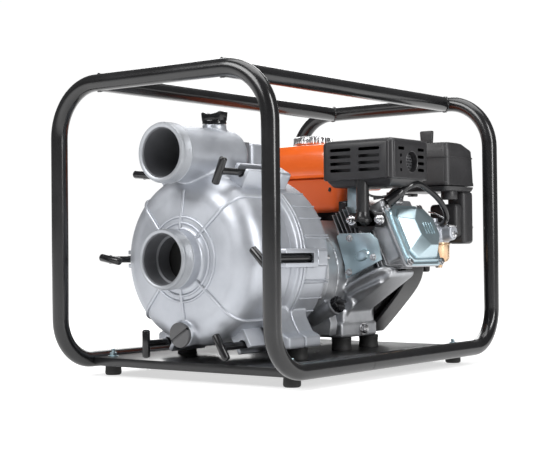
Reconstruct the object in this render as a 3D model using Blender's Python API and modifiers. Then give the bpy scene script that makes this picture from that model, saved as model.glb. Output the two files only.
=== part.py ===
"""A three-inch trash pump with its petrol engine in a tube frame.

Metres, +Z up. -Y is the front, where both hose ports face; +X is the side of the cylinder and
the muffler; z = 0 is under the rubber feet, and X = Y = 0 is the middle of the frame. The
crankshaft runs along Y.
"""

import math

import bmesh
import bpy
from mathutils import Matrix, Vector

OBJECT_NAME = "trash_pump"
GAP = 0.0003  # left between pieces that touch

# Frame
TUBE_R = 0.0127
POST_X = 0.205
POST_Y = 0.310
BOTTOM_RAIL_Z = 0.025
TOP_BAR_Z = 0.447
TOP_BEND_R = 0.080
FOOT_BEND_R = 0.065
TOP_RAIL_X = 0.120
SEAM_Y = -0.078

# Base pan, feet and rubber mounts
PAN_TOP = 0.0285
PAN_BOTTOM = 0.0155
PAN_SHEET = 0.002
PAN_Y = 0.252
FOOT_R = 0.013
FOOT_X = 0.175
FOOT_Y = 0.227
ENGINE_MOUNT_R = 0.0165
ENGINE_MOUNT_TOP = 0.0495
ENGINE_MOUNT_X = (0.066, -0.096)
ENGINE_MOUNT_Y = (0.055, 0.135)
PUMP_MOUNT_R = 0.0155
PUMP_MOUNT_TOP = 0.0467
PUMP_MOUNT_X = 0.110
PUMP_MOUNT_Y = -0.125

# Pump
CASE_Z = 0.181
CASE_R = 0.128
CASE_WALL = 0.006
CASE_SIDES = 32
DOME_FRONT = -0.256
DOME_ROUND = 0.035
PARTING_Y = -0.132
CASE_BACK = -0.059
PORT_FACE = -0.305
PORT_R = 0.04445
BORE_R = 0.038
PIPE_R = 0.0415
DISCHARGE_Z = 0.336
PIPE_BACK = -0.148
KNOB_COUNT = 6
KNOB_CIRCLE = 0.1465
KNOB_Y = -0.260
KNOB_R = 0.0055
KNOB_BAR = 0.043
KNOB_TURNS = (-45, 66, -5, -9, 90, -59)  # how far each bar has been left turned, in degrees
LUG_FRONT = -0.212
PRIMING_Y = -0.183

# Engine
CRANK_Z = 0.157
SHAFT_R = 0.0125
CYLINDER_Y = 0.095
CYLINDER_TILT = math.radians(25)
BLOCK_FRONT = 0.020
BLOCK_BACK = 0.165
FAN_R = 0.124
FAN_BACK = 0.225
FAN_FLAT = 0.1045  # from the crankshaft to the flat that faces down and right
RECOIL_R = 0.082
RECOIL_BACK = 0.262
GUARD_LOW = Vector((0.055, 0.018, 0.303))
GUARD_HIGH = Vector((0.1915, 0.130, 0.367))
CLEANER_LOW = Vector((0.082, 0.199, 0.2975))
CLEANER_HIGH = Vector((0.186, 0.294, 0.371))
TANK_LOW = Vector((-0.150, 0.078, 0.300))
TANK_HIGH = Vector((0.038, 0.255, 0.372))
PIPE_Y = 0.032
PORT_UV = (0.149, 0.0215)  # exhaust port: along the cylinder and above its axis
INTAKE_UV = (0.149, 0.004)
CAP_X = -0.055
CAP_Y = 0.150
CARB_X = 0.150
CARB_Y = 0.227
KNOB_X = 0.116  # the stud that holds the air cleaner cover

ALONG_CYLINDER = Vector((math.cos(CYLINDER_TILT), 0, math.sin(CYLINDER_TILT)))
ACROSS_CYLINDER = Vector((-math.sin(CYLINDER_TILT), 0, math.cos(CYLINDER_TILT)))
CRANK = Vector((0, 0, CRANK_Z))

# name: colour, roughness, metallic
FINISHES = {
    "black_enamel": ((0.012, 0.012, 0.013), 0.35, 0.0),
    "cast_aluminium": ((0.50, 0.52, 0.55), 0.42, 0.9),
    "engine_casting": ((0.36, 0.37, 0.38), 0.38, 0.9),
    "rubber": ((0.015, 0.015, 0.016), 0.8, 0.0),
    "gasket": ((0.10, 0.10, 0.11), 0.7, 0.0),
    "tank_orange": ((0.75, 0.12, 0.02), 0.3, 0.0),
    "black_plastic": ((0.02, 0.02, 0.021), 0.45, 0.0),
    "zinc": ((0.45, 0.52, 0.56), 0.25, 1.0),
    "chrome": ((0.75, 0.75, 0.76), 0.1, 1.0),
    "steel": ((0.45, 0.45, 0.46), 0.35, 1.0),
    "brass": ((0.62, 0.45, 0.22), 0.3, 1.0),
    "cast_iron": ((0.16, 0.16, 0.17), 0.6, 0.8),
}


# ---------------------------------------------------------------- scene and materials

def clear_scene():
    for obj in list(bpy.data.objects):
        bpy.data.objects.remove(obj, do_unlink=True)


def new_collection(name):
    collection = bpy.data.collections.new(name)
    bpy.context.scene.collection.children.link(collection)
    return collection


clear_scene()
PARTS = new_collection(OBJECT_NAME)
CUTTERS = new_collection("cutters")


def finish(name):
    """The material called name, made once."""
    if name in bpy.data.materials:
        return bpy.data.materials[name]
    colour, roughness, metallic = FINISHES[name]
    material = bpy.data.materials.new(name)
    material.use_nodes = True
    shader = material.node_tree.nodes["Principled BSDF"]
    shader.inputs["Base Color"].default_value = (*colour, 1)
    shader.inputs["Roughness"].default_value = roughness
    shader.inputs["Metallic"].default_value = metallic
    return material


# ---------------------------------------------------------------- shapes, in world coordinates

def shape_from_bmesh(bm, name):
    """A mesh object made from bm. It goes with the cutters until make() turns it into a part."""
    mesh = bpy.data.meshes.new(name)
    bm.to_mesh(mesh)
    bm.free()
    obj = bpy.data.objects.new(name, mesh)
    CUTTERS.objects.link(obj)
    return obj


def baked(obj, weld=1e-6):
    """obj with its modifiers or its curve worked out, as a plain mesh in world coordinates."""
    bpy.context.view_layer.update()
    graph = bpy.context.evaluated_depsgraph_get()
    mesh = bpy.data.meshes.new_from_object(obj.evaluated_get(graph))
    mesh.transform(obj.matrix_world)
    name = obj.name
    bpy.data.objects.remove(obj, do_unlink=True)
    bm = bmesh.new()
    bm.from_mesh(mesh)
    bpy.data.meshes.remove(mesh)
    bmesh.ops.remove_doubles(bm, verts=bm.verts, dist=weld)
    return shape_from_bmesh(bm, name)


def with_bevel(obj, width, segments, angle=40):
    """obj with every edge sharper than angle rounded."""
    modifier = obj.modifiers.new("round", "BEVEL")
    modifier.width = width
    modifier.segments = segments
    modifier.limit_method = "ANGLE"
    modifier.angle_limit = math.radians(angle)
    return baked(obj)


def box(low, high, bevel=0.0, segments=2):
    low, high = Vector(low), Vector(high)
    bm = bmesh.new()
    place = Matrix.Translation((low + high) / 2) @ Matrix.Diagonal((*(high - low), 1))
    bmesh.ops.create_cube(bm, size=1, matrix=place)
    obj = shape_from_bmesh(bm, "box")
    return with_bevel(obj, bevel, segments) if bevel else obj


def turned_box(centre, along, across, size, bevel=0.0, segments=2):
    """A box whose local X and Z are along and across, about centre."""
    side = Vector(across).cross(Vector(along))
    frame = Matrix((Vector(along), side, Vector(across))).transposed().to_4x4()
    bm = bmesh.new()
    place = Matrix.Translation(centre) @ frame @ Matrix.Diagonal((*size, 1))
    bmesh.ops.create_cube(bm, size=1, matrix=place)
    obj = shape_from_bmesh(bm, "turned_box")
    return with_bevel(obj, bevel, segments) if bevel else obj


def cylinder(start, end, radius, end_radius=None, sides=24, bevel=0.0):
    """A cylinder or a cone from start to end."""
    start, end = Vector(start), Vector(end)
    turn = (end - start).to_track_quat("Z", "Y").to_matrix().to_4x4()
    place = Matrix.Translation((start + end) / 2) @ turn
    bm = bmesh.new()
    bmesh.ops.create_cone(
        bm, cap_ends=True, segments=sides, radius1=radius,
        radius2=radius if end_radius is None else end_radius,
        depth=(end - start).length, matrix=place,
    )
    obj = shape_from_bmesh(bm, "cylinder")
    return with_bevel(obj, bevel, 2) if bevel else obj


def turned(profile, z=0.0, x=0.0, steps=32, upright=False, y=0.0):
    """A closed solid of revolution. profile lists (radius, distance along the axis) from the far
    end of the axis to its near end. The axis is Y through (x, z), or Z through (x, y)."""
    mesh = bpy.data.meshes.new("profile")
    edges = [(i, i + 1) for i in range(len(profile) - 1)]
    if profile[0][0] > 0:
        edges.append((len(profile) - 1, 0))
    mesh.from_pydata([(r, 0, d) for r, d in profile], edges, [])
    obj = bpy.data.objects.new("turned", mesh)
    CUTTERS.objects.link(obj)
    screw = obj.modifiers.new("turn", "SCREW")
    screw.steps = screw.render_steps = steps
    screw.use_merge_vertices = True
    screw.merge_threshold = 1e-5
    if upright:
        obj.location = (x, y, z)
    else:
        obj.location = (x, 0, z)
        obj.rotation_euler = (-math.pi / 2, 0, 0)
    return baked(obj)


def tube(points, radius, resolution=4):
    """A round bar that follows points."""
    data = bpy.data.curves.new("tube", "CURVE")
    data.dimensions = "3D"
    data.bevel_depth = radius
    data.bevel_resolution = resolution
    data.use_fill_caps = True
    spline = data.splines.new("POLY")
    spline.points.add(len(points) - 1)
    for place, point in zip(spline.points, points):
        place.co = (*point, 1)
    obj = bpy.data.objects.new("tube", data)
    CUTTERS.objects.link(obj)
    return baked(obj)


def rounded_path(corners, radius, steps=6):
    """corners joined by straight runs, with an arc of this radius at each inner corner."""
    corners = [Vector(c) for c in corners]
    path = [corners[0]]
    for before, corner, after in zip(corners, corners[1:], corners[2:]):
        into = (corner - before).normalized()
        out = (after - corner).normalized()
        half_turn = into.angle(out) / 2
        reach = radius * math.tan(half_turn)
        centre = corner + (out - into).normalized() * radius / math.cos(half_turn)
        first = corner - into * reach - centre
        for step in range(steps + 1):
            turn = Matrix.Rotation(2 * half_turn * step / steps, 3, into.cross(out))
            path.append(centre + turn @ first)
    path.append(corners[-1])
    return path


def smooth_path(points, steps=6):
    """A smooth curve through points (Catmull-Rom)."""
    points = [Vector(p) for p in points]
    guides = [points[0] * 2 - points[1], *points, points[-1] * 2 - points[-2]]
    path = []
    for a, b, c, d in zip(guides, guides[1:], guides[2:], guides[3:]):
        for step in range(steps):
            t = step / steps
            path.append(0.5 * (2 * b + (c - a) * t + (2 * a - 5 * b + 4 * c - d) * t**2
                               + (3 * b - a - 3 * c + d) * t**3))
    path.append(points[-1])
    return path


def plate(outline, low, high, plane="XZ"):
    """A flat outline, as (first, second) coordinates in plane, between low and high on the third."""
    data = bpy.data.curves.new("plate", "CURVE")
    data.dimensions = "2D"
    data.fill_mode = "BOTH"
    data.extrude = (high - low) / 2
    spline = data.splines.new("POLY")
    spline.points.add(len(outline) - 1)
    for place, (a, b) in zip(spline.points, outline):
        place.co = (a, b, 0, 1)
    spline.use_cyclic_u = True
    obj = bpy.data.objects.new("plate", data)
    CUTTERS.objects.link(obj)
    middle = (high + low) / 2
    if plane == "XZ":
        obj.rotation_euler = (math.pi / 2, 0, 0)
        obj.location = (0, middle, 0)
    else:
        obj.location = (0, 0, middle)
    return baked(obj)


def make(name, material, base, adds=(), cuts=(), origin=None, solver="EXACT"):
    """Turns base into the part called name: adds are joined to it and cuts are taken from it.
    The MANIFOLD solver is for the big castings, where many faces with holes defeat EXACT."""
    base.name = name
    for label, operation, others in (("join", "UNION", adds), ("cut", "DIFFERENCE", cuts)):
        for index, other in enumerate(others):
            other.name = f"{name}_{label}_{index}"
            other.hide_render = True
            other.display_type = "WIRE"
            modifier = base.modifiers.new(other.name, "BOOLEAN")
            modifier.operation = operation
            modifier.solver = solver
            modifier.object = other
    CUTTERS.objects.unlink(base)
    PARTS.objects.link(base)
    base.data.materials.append(finish(material))
    if origin is not None:
        base.data.transform(Matrix.Translation(-Vector(origin)))
        base.location = origin
    base.data.shade_smooth()
    base.data.set_sharp_from_angle(angle=math.radians(35))
    return base


def at_angle(radius, degrees, y, z=CASE_Z):
    """A point on a circle about the pump casing's axis."""
    turn = math.radians(degrees)
    return Vector((radius * math.cos(turn), y, z + radius * math.sin(turn)))


def on_cylinder(u, v, y=CYLINDER_Y):
    """A point u along the engine's cylinder axis from the crankshaft and v above that axis."""
    point = CRANK + ALONG_CYLINDER * u + ACROSS_CYLINDER * v
    return Vector((point.x, y, point.z))


# ---------------------------------------------------------------- frame and base

def build_frame():
    for name, end in (("frame_front_hoop", -1), ("frame_rear_hoop", 1)):
        seam = SEAM_Y + end * GAP / 2
        corners = [
            (POST_X, seam, BOTTOM_RAIL_Z),
            (POST_X, end * POST_Y, BOTTOM_RAIL_Z),
            (POST_X, end * POST_Y, TOP_BAR_Z),
            (-POST_X, end * POST_Y, TOP_BAR_Z),
            (-POST_X, end * POST_Y, BOTTOM_RAIL_Z),
            (-POST_X, seam, BOTTOM_RAIL_Z),
        ]
        low_bend = rounded_path(corners[:3], FOOT_BEND_R)
        top_bend = rounded_path(corners[1:5], TOP_BEND_R)
        far_bend = rounded_path(corners[3:], FOOT_BEND_R)
        path = low_bend[:-1] + top_bend[1:-1] + far_bend[1:]
        make(name, "black_enamel", tube(path, TUBE_R))
    for name, side in (("top_rail_right", 1), ("top_rail_left", -1)):
        x = side * TOP_RAIL_X
        rail = cylinder((x, -POST_Y, TOP_BAR_Z), (x, POST_Y, TOP_BAR_Z), TUBE_R, sides=16)
        saddles = [
            cylinder((x - 0.03, end * POST_Y, TOP_BAR_Z), (x + 0.03, end * POST_Y, TOP_BAR_Z),
                     TUBE_R + 2 * GAP, sides=16)
            for end in (-1, 1)
        ]
        ends = [
            box((x - 0.02, min(end * POST_Y, end * 0.34), TOP_BAR_Z - 0.02),
                (x + 0.02, max(end * POST_Y, end * 0.34), TOP_BAR_Z + 0.02))
            for end in (-1, 1)
        ]
        make(name, "black_enamel", rail, cuts=saddles + ends)


def build_base():
    side = POST_X - TUBE_R - GAP
    pan = box((-side, -PAN_Y, PAN_BOTTOM), (side, PAN_Y, PAN_TOP))
    hollow = box((-side + PAN_SHEET, -PAN_Y + PAN_SHEET, PAN_BOTTOM - 0.01),
                 (side - PAN_SHEET, PAN_Y - PAN_SHEET, PAN_TOP - PAN_SHEET))
    make("base_pan", "black_enamel", pan, cuts=[hollow])
    foot_top = PAN_TOP - PAN_SHEET - GAP
    for end, end_name in ((-1, "front"), (1, "rear")):
        for across, side_name in ((1, "right"), (-1, "left")):
            x, y = across * FOOT_X, end * FOOT_Y
            foot = cylinder((x, y, 0), (x, y, foot_top), FOOT_R, sides=16)
            make(f"foot_{end_name}_{side_name}", "rubber", foot)
    for x, side_name in zip(ENGINE_MOUNT_X, ("right", "left")):
        for y, end_name in zip(ENGINE_MOUNT_Y, ("front", "rear")):
            rubber = cylinder((x, y, PAN_TOP + GAP), (x, y, ENGINE_MOUNT_TOP),
                              ENGINE_MOUNT_R, sides=16)
            make(f"engine_mount_{end_name}_{side_name}", "rubber", rubber)
    for across, side_name in ((1, "right"), (-1, "left")):
        x = across * PUMP_MOUNT_X
        rubber = cylinder((x, PUMP_MOUNT_Y, PAN_TOP + GAP), (x, PUMP_MOUNT_Y, PUMP_MOUNT_TOP),
                          PUMP_MOUNT_R, sides=16)
        make(f"pump_mount_{side_name}", "rubber", rubber)


# ---------------------------------------------------------------- pump

def port_profile(face, root, body_r):
    """A hose port's outside, from its root to the middle of its face: a plain neck, then the
    wider threaded band."""
    return [(body_r, root), (body_r, face + 0.022), (PORT_R, face + 0.0212), (PORT_R, face),
            (0, face)]


def dome_profile():
    """The front cover's outside, from behind its open back edge to the face of the port."""
    rim_r = CASE_R + 0.002
    groove_r = CASE_R - 0.004
    rim = [(0, PARTING_Y + 0.008), (rim_r, PARTING_Y + 0.008), (rim_r, PARTING_Y - 0.005),
           (groove_r, PARTING_Y - 0.007), (groove_r, PARTING_Y - 0.026),
           (CASE_R, PARTING_Y - 0.030)]
    arc = []
    for step in range(5):
        turn = math.radians(90) * step / 4
        arc.append((CASE_R - DOME_ROUND * (1 - math.cos(turn)),
                    DOME_FRONT + DOME_ROUND * (1 - math.sin(turn))))
    root = DOME_FRONT - 0.006
    return rim + arc + [(0.055, root)] + port_profile(PORT_FACE, root - 0.001, PORT_R - 0.002)


def chamber_profile():
    """The hollow inside the front cover, running past its open back."""
    radius = CASE_R - 0.004 - CASE_WALL
    front = DOME_FRONT + CASE_WALL
    return [(0, PARTING_Y + 0.02), (radius, PARTING_Y + 0.02), (radius, front + 0.029),
            (radius - 0.010, front + 0.010), (radius - 0.030, front), (0, front)]


def discharge_profile():
    """The discharge pipe's outside, from its rounded back end to the face of the port."""
    round_r = 0.016
    arc = []
    for step in range(4):
        turn = math.radians(90) * step / 3
        arc.append((PIPE_R - round_r * (1 - math.sin(turn)),
                    PIPE_BACK - round_r * (1 - math.cos(turn))))
    return [(0, PIPE_BACK)] + arc + port_profile(PORT_FACE, -0.26, PIPE_R)


def pump_foot(side, front, back):
    """Half of a cast foot with the web that carries it, between two planes across Y."""
    outline = [(0.084, 0.047), (0.130, 0.047), (0.130, 0.066), (0.112, 0.072), (0.102, 0.112),
               (0.088, 0.112)]
    return plate([(side * x, z) for x, z in outline], front, back)


def knob_turn(index):
    return 360 / KNOB_COUNT * index


def outward(turn):
    """The direction away from the casing's axis at this angle, and the one across it."""
    out = Vector((math.cos(math.radians(turn)), 0, math.sin(math.radians(turn))))
    return out, out.cross(Vector((0, 1, 0)))


def clamp_lug(turn):
    """The lug that a clamp knob lies in, and the groove cut along it."""
    out, across = outward(turn)
    low, high = LUG_FRONT, PARTING_Y + 0.006
    middle = at_angle(0.136, turn, (low + high) / 2)
    lug = turned_box(middle, out, across, (0.040, high - low, 0.028))
    groove = cylinder(at_angle(KNOB_CIRCLE, turn, low - 0.01),
                      at_angle(KNOB_CIRCLE, turn, high + 0.01), 0.0075, sides=8)
    mouth_end = PARTING_Y - 0.012
    mouth = turned_box(at_angle(KNOB_CIRCLE + 0.010, turn, (low - 0.011 + mouth_end) / 2), out,
                       across, (0.020, mouth_end - low + 0.011, 0.0147))
    return lug, [groove, mouth]


def build_front_cover():
    dome = turned(dome_profile(), CASE_Z, steps=CASE_SIDES)
    neck_y = -0.195
    adds = [
        turned(discharge_profile(), DISCHARGE_Z, steps=28),
        cylinder((0, neck_y, 0.280), (0, neck_y, DISCHARGE_Z), 0.042, 0.036, sides=20),
        cylinder((0, PRIMING_Y, DISCHARGE_Z), (0, PRIMING_Y, 0.384), 0.0175, sides=24),
        cylinder((0, -0.262, 0.070), (0, -0.215, 0.074), 0.017, sides=24),
    ]
    cuts = []
    for index in range(KNOB_COUNT):
        lug, grooves = clamp_lug(knob_turn(index))
        adds.append(lug)
        cuts += grooves
    adds += [pump_foot(side, -0.172, PARTING_Y + 0.004) for side in (-1, 1)]
    cuts += [
        turned(chamber_profile(), CASE_Z, steps=CASE_SIDES),
        cylinder((0, PORT_FACE - 0.01, CASE_Z), (0, DOME_FRONT + 0.02, CASE_Z), BORE_R, sides=28),
        cylinder((0, PORT_FACE - 0.01, DISCHARGE_Z), (0, -0.160, DISCHARGE_Z), 0.0365, sides=28),
        cylinder((0, neck_y, 0.270), (0, neck_y, DISCHARGE_Z), 0.029, sides=16),
        cylinder((0, PRIMING_Y, DISCHARGE_Z), (0, PRIMING_Y, 0.390), 0.0125, sides=12),
        cylinder((0, -0.270, 0.0695), (0, -0.200, 0.0752), 0.0115, sides=16),
        box((-0.2, PARTING_Y - GAP, 0), (0.2, PARTING_Y + 0.05, 0.4)),
    ]
    make("front_cover", "cast_aluminium", dome, adds=adds, cuts=cuts, solver="MANIFOLD")


def build_rear_casing():
    outer = turned([(0, CASE_BACK), (CASE_R - 0.008, CASE_BACK), (CASE_R, CASE_BACK - 0.010),
                    (CASE_R, PARTING_Y - 0.008), (0, PARTING_Y - 0.008)], CASE_Z, steps=CASE_SIDES)
    adds = [
        cylinder((0, CASE_BACK - 0.008, CRANK_Z), (0, -0.0203, CRANK_Z), 0.095, 0.078, sides=40),
        box((-0.030, PARTING_Y - 0.009, 0.280), (0.030, -0.075, 0.3585), bevel=0.006),
    ]
    adds += [pump_foot(side, PARTING_Y - 0.004, -0.092) for side in (-1, 1)]
    cuts = []
    for index in range(KNOB_COUNT):
        turn = knob_turn(index)
        out, across = outward(turn)
        adds.append(turned_box(at_angle(0.136, turn, -0.121), out, across, (0.036, 0.034, 0.026)))
        cuts.append(cylinder(at_angle(KNOB_CIRCLE, turn, PARTING_Y - 0.03),
                             at_angle(KNOB_CIRCLE, turn, -0.09), 0.0060, sides=12))
    cuts += [
        turned([(0, -0.073), (CASE_R - 0.010, -0.073), (CASE_R - 0.010, PARTING_Y - 0.02),
                (0, PARTING_Y - 0.02)], CASE_Z, steps=CASE_SIDES),
        cylinder((0, -0.080, CRANK_Z), (0, -0.040, CRANK_Z), 0.0223, sides=24),
        cylinder((0, -0.056, CRANK_Z), (0, -0.010, CRANK_Z), 0.058, sides=32),
        box((-0.2, PARTING_Y - 0.05, 0), (0.2, PARTING_Y, 0.4)),
    ]
    make("rear_casing", "cast_aluminium", outer, adds=adds, cuts=cuts, solver="MANIFOLD")


def ring(name, material, inner, outer, front, back, z, steps=40):
    """A plain ring about an axis along Y."""
    profile = [(outer, back), (outer, front), (inner, front), (inner, back)]
    return make(name, material, turned(profile, z, steps=steps))


def build_pump_inside():
    ring("cover_seal", "rubber", 0.1135, 0.1173, PARTING_Y - 0.004, PARTING_Y + 0.003, CASE_Z, 32)
    gasket = box((-0.029, PIPE_BACK + GAP, 0.3115), (0.029, PARTING_Y - GAP, 0.3580), bevel=0.003)
    make("discharge_gasket", "gasket", gasket)
    volute = turned([(0.086, -0.0765), (0.086, -0.170), (0.030, -0.170), (0.030, -0.165),
                     (0.074, -0.160), (0.074, -0.0765)], CRANK_Z, steps=28)
    throat = box((0.050, -0.150, 0.200), (0.080, -0.100, 0.235))
    make("inner_volute", "cast_iron", volute, cuts=[throat])
    seal = turned([(0.0219, -0.0615), (0.0219, -0.0795), (0.0180, -0.090), (0.0130, -0.090),
                   (0.0130, -0.0615)], CRANK_Z, steps=24)
    make("mechanical_seal", "rubber", seal)
    hub = cylinder((0, -0.155, CRANK_Z), (0, -0.095, CRANK_Z), 0.022, sides=24)
    back_plate = cylinder((0, -0.106, CRANK_Z), (0, -0.098, CRANK_Z), 0.070, sides=28)
    vanes = []
    for index in range(3):
        start = 120 * index
        points = []
        for step in range(7):
            share = step / 6
            points.append((0.018 + 0.050 * share, start + 100 * share))
        inside = [at_angle(r - 0.003, turn, 0, CRANK_Z) for r, turn in points]
        outside = [at_angle(r + 0.003, turn, 0, CRANK_Z) for r, turn in reversed(points)]
        outline = [(p.x, p.z) for p in inside + outside]
        vanes.append(plate(outline, -0.153, -0.104))
    bore = cylinder((0, -0.160, CRANK_Z), (0, -0.090, CRANK_Z), SHAFT_R - 0.003 + GAP, sides=20)
    make("impeller", "cast_iron", hub, adds=[back_plate] + vanes, cuts=[bore],
         origin=(0, -0.10, CRANK_Z))
    hinge = Vector((0, -0.243, CASE_Z + 0.049))
    flap = cylinder((0, -0.2475, CASE_Z), (0, -0.2415, CASE_Z), 0.0465, sides=32)
    ear = cylinder((-0.018, hinge.y, hinge.z), (0.018, hinge.y, hinge.z), 0.004, sides=12)
    weight = cylinder((0, -0.2425, CASE_Z), (0, -0.2345, CASE_Z), 0.026, sides=24)
    make("suction_flap", "rubber", flap, adds=[ear, weight], origin=hinge)


def build_clamp_knobs():
    for index, bar_turn in enumerate(KNOB_TURNS):
        turn = 360 / KNOB_COUNT * index
        centre = at_angle(KNOB_CIRCLE, turn, KNOB_Y)
        lean = math.radians(bar_turn)
        half_bar = Vector((math.cos(lean), 0, math.sin(lean))) * KNOB_BAR / 2
        bar = cylinder(centre - half_bar, centre + half_bar, KNOB_R, sides=10)
        shaft = cylinder(centre, (centre.x, -0.142, centre.z), KNOB_R, sides=10)
        stud = cylinder((centre.x, -0.150, centre.z), (centre.x, -0.096, centre.z), 0.004, sides=8)
        make(f"clamp_knob_{index + 1}", "black_plastic", bar, adds=[shaft, stud], origin=centre)


def build_pump_caps():
    base = (0, PRIMING_Y, 0.3843)
    skirt = cylinder(base, (0, PRIMING_Y, 0.3905), 0.0185, sides=24)
    grip = box((-0.0185, PRIMING_Y - 0.006, 0.389), (0.0185, PRIMING_Y + 0.006, 0.402))
    dip = cylinder((0, PRIMING_Y - 0.01, 0.419), (0, PRIMING_Y + 0.01, 0.419), 0.022, sides=24)
    plug = cylinder((0, PRIMING_Y, 0.372), (0, PRIMING_Y, 0.386), 0.0120, sides=16)
    make("priming_cap", "black_plastic", skirt, adds=[grip, plug], cuts=[dip], origin=base)
    low, high = Vector((0, -0.2685, 0.0696)), Vector((0, -0.2623, 0.0701))
    head = cylinder(low, high, 0.0185, sides=28)
    along = (high - low).normalized()
    neck = cylinder(high - along * 0.002, high + along * 0.022, 0.0110, sides=16)
    slant = Vector((math.cos(math.radians(32)), 0, math.sin(math.radians(32))))
    slot = turned_box(low, slant, along, (0.05, 0.003, 0.005))
    make("drain_plug", "black_plastic", head, adds=[neck], cuts=[slot], origin=high)


# ---------------------------------------------------------------- engine

def build_block():
    case = cylinder((0, BLOCK_FRONT, CRANK_Z), (0, BLOCK_BACK, CRANK_Z), 0.085, sides=40)
    sump = box((-0.113, 0.028, ENGINE_MOUNT_TOP + GAP), (0.085, 0.134, 0.074))
    body = box((-0.085, BLOCK_FRONT, 0.060), (0.060, BLOCK_BACK, 0.150))
    wedge = plate([(0.030, 0.070), (0.0845, 0.074), (0.0845, 0.093), (0.165, 0.148), (0.169, 0.158),
                   (0.139, 0.1535), (0.120, 0.195), (0.030, 0.195)],
                  0.045, 0.120)
    barrel = cylinder(on_cylinder(0.050, 0), on_cylinder(0.1277, 0), 0.046, sides=20)
    fins = []
    for index in range(5):
        centre = on_cylinder(0.090 + 0.0075 * index, 0.006)
        fins.append(turned_box(centre, ALONG_CYLINDER, ACROSS_CYLINDER, (0.0025, 0.098, 0.106)))
    top = turned_box(on_cylinder(0.1262, -0.008), ALONG_CYLINDER, ACROSS_CYLINDER,
                     (0.003, 0.096, 0.104))
    cuts = [
        cylinder((0, 0.045, CRANK_Z), (0, 0.140, CRANK_Z), 0.052, sides=32),
        cylinder((0, 0.010, CRANK_Z), (0, 0.170, CRANK_Z), SHAFT_R + 0.002 + GAP, sides=24),
        cylinder(on_cylinder(0.020, 0), on_cylinder(0.140, 0), 0.034, sides=32),
    ]
    make("cylinder_block", "engine_casting", case, adds=[sump, body, wedge, barrel, top] + fins,
         cuts=cuts)


def build_case_cover():
    disc = cylinder((0, -0.020, CRANK_Z), (0, BLOCK_FRONT - GAP, CRANK_Z), 0.083, 0.085, sides=40)
    sump = plate([(-0.085, 0.055), (0.080, 0.055), (0.084, 0.075), (0.070, 0.120), (-0.080, 0.120)],
                 0.000, BLOCK_FRONT - GAP)
    filler = cylinder((0.045, 0.003, 0.080), (0.0906, 0.003, 0.1032), 0.0125, sides=20)
    cuts = [
        cylinder((0, -0.03, CRANK_Z), (0, 0.03, CRANK_Z), SHAFT_R + 0.002 + GAP, sides=24),
        cylinder((0.0701, 0.003, 0.0928), (0.100, 0.003, 0.108), 0.0080, sides=16),
    ]
    make("crankcase_cover", "engine_casting", disc, adds=[sump, filler], cuts=cuts)
    along = Vector((0.0456, 0, 0.0232)).normalized()
    seat = Vector((0.0906, 0.003, 0.1032)) + along * GAP
    cap = cylinder(seat, seat + along * 0.010, 0.0145, sides=20)
    wing = cylinder(seat + along * 0.008, seat + along * 0.017, 0.0095, sides=12)
    stick = cylinder(seat - along * 0.018, seat + along * 0.002, 0.0076, sides=12)
    make("oil_filler_cap", "black_plastic", cap, adds=[wing, stick], origin=seat)
    drain = cylinder((0.0853, 0.090, 0.062), (0.0915, 0.090, 0.062), 0.0085, sides=6)
    make("oil_drain_bolt", "steel", drain)


def build_head():
    size = (0.0555, 0.090, 0.100)
    head = turned_box(on_cylinder(0.1560, -0.008), ALONG_CYLINDER, ACROSS_CYLINDER, size)
    fins = []
    for index in range(3):
        centre = on_cylinder(0.135 + 0.0075 * index, -0.006)
        fins.append(turned_box(centre, ALONG_CYLINDER, ACROSS_CYLINDER, (0.0025, 0.098, 0.106)))
    port = cylinder(on_cylinder(*PORT_UV, 0.070), on_cylinder(*PORT_UV, 0.0449), 0.0155, sides=20)
    intake = cylinder(on_cylinder(*INTAKE_UV, 0.130), on_cylinder(*INTAKE_UV, 0.1497), 0.0155,
                      sides=20)
    plug_root = on_cylinder(0.146, 0.035, 0.128)
    plug_way = Vector((0.10, 0.55, 0.83)).normalized()
    plug_hole = cylinder(plug_root, plug_root + plug_way * 0.05, 0.0062, sides=16)
    make("cylinder_head", "engine_casting", head, adds=fins + [port, intake], cuts=[plug_hole])
    seat = plug_root + plug_way * 0.0275
    shank = cylinder(plug_root + plug_way * GAP, seat + plug_way * 0.004, 0.0058, sides=12)
    hexagon = cylinder(seat, seat + plug_way * 0.007, 0.0095, sides=6)
    make("spark_plug", "steel", hexagon, adds=[shank])
    boot_start = seat + plug_way * (0.007 + GAP)
    build_plug_lead(boot_start, plug_way)
    build_valve_cover()


def build_plug_lead(start, way):
    boot = cylinder(start, start + way * 0.020, 0.0075, sides=14)
    route = [start + way * 0.014, start + way * 0.024, Vector((0.114, 0.182, 0.303)),
             Vector((0.094, 0.192, 0.298)), Vector((0.072, 0.194, 0.284)),
             Vector((0.060, 0.190, 0.2646))]
    make("plug_lead", "rubber", boot, adds=[tube(smooth_path(route, 4), 0.0035, 2)])


def build_valve_cover():
    rim = turned_box(on_cylinder(0.1858, -0.0235, 0.0988), ALONG_CYLINDER, ACROSS_CYLINDER,
                     (0.0035, 0.106, 0.108), bevel=0.0015, segments=1)
    bm = bmesh.new()
    frame = Matrix((ALONG_CYLINDER, ACROSS_CYLINDER.cross(ALONG_CYLINDER), ACROSS_CYLINDER))
    place = Matrix.Translation(on_cylinder(0.1985, -0.0235, 0.0988)) @ frame.transposed().to_4x4()
    upright = Matrix.Rotation(math.pi / 2, 4, "Y") @ Matrix.Rotation(math.pi / 8, 4, "Z")
    bmesh.ops.create_cone(bm, cap_ends=True, segments=8, radius1=0.051, radius2=0.038, depth=0.024,
                          matrix=place @ upright)
    make("valve_cover", "zinc", rim, adds=[shape_from_bmesh(bm, "crown")])


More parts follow.
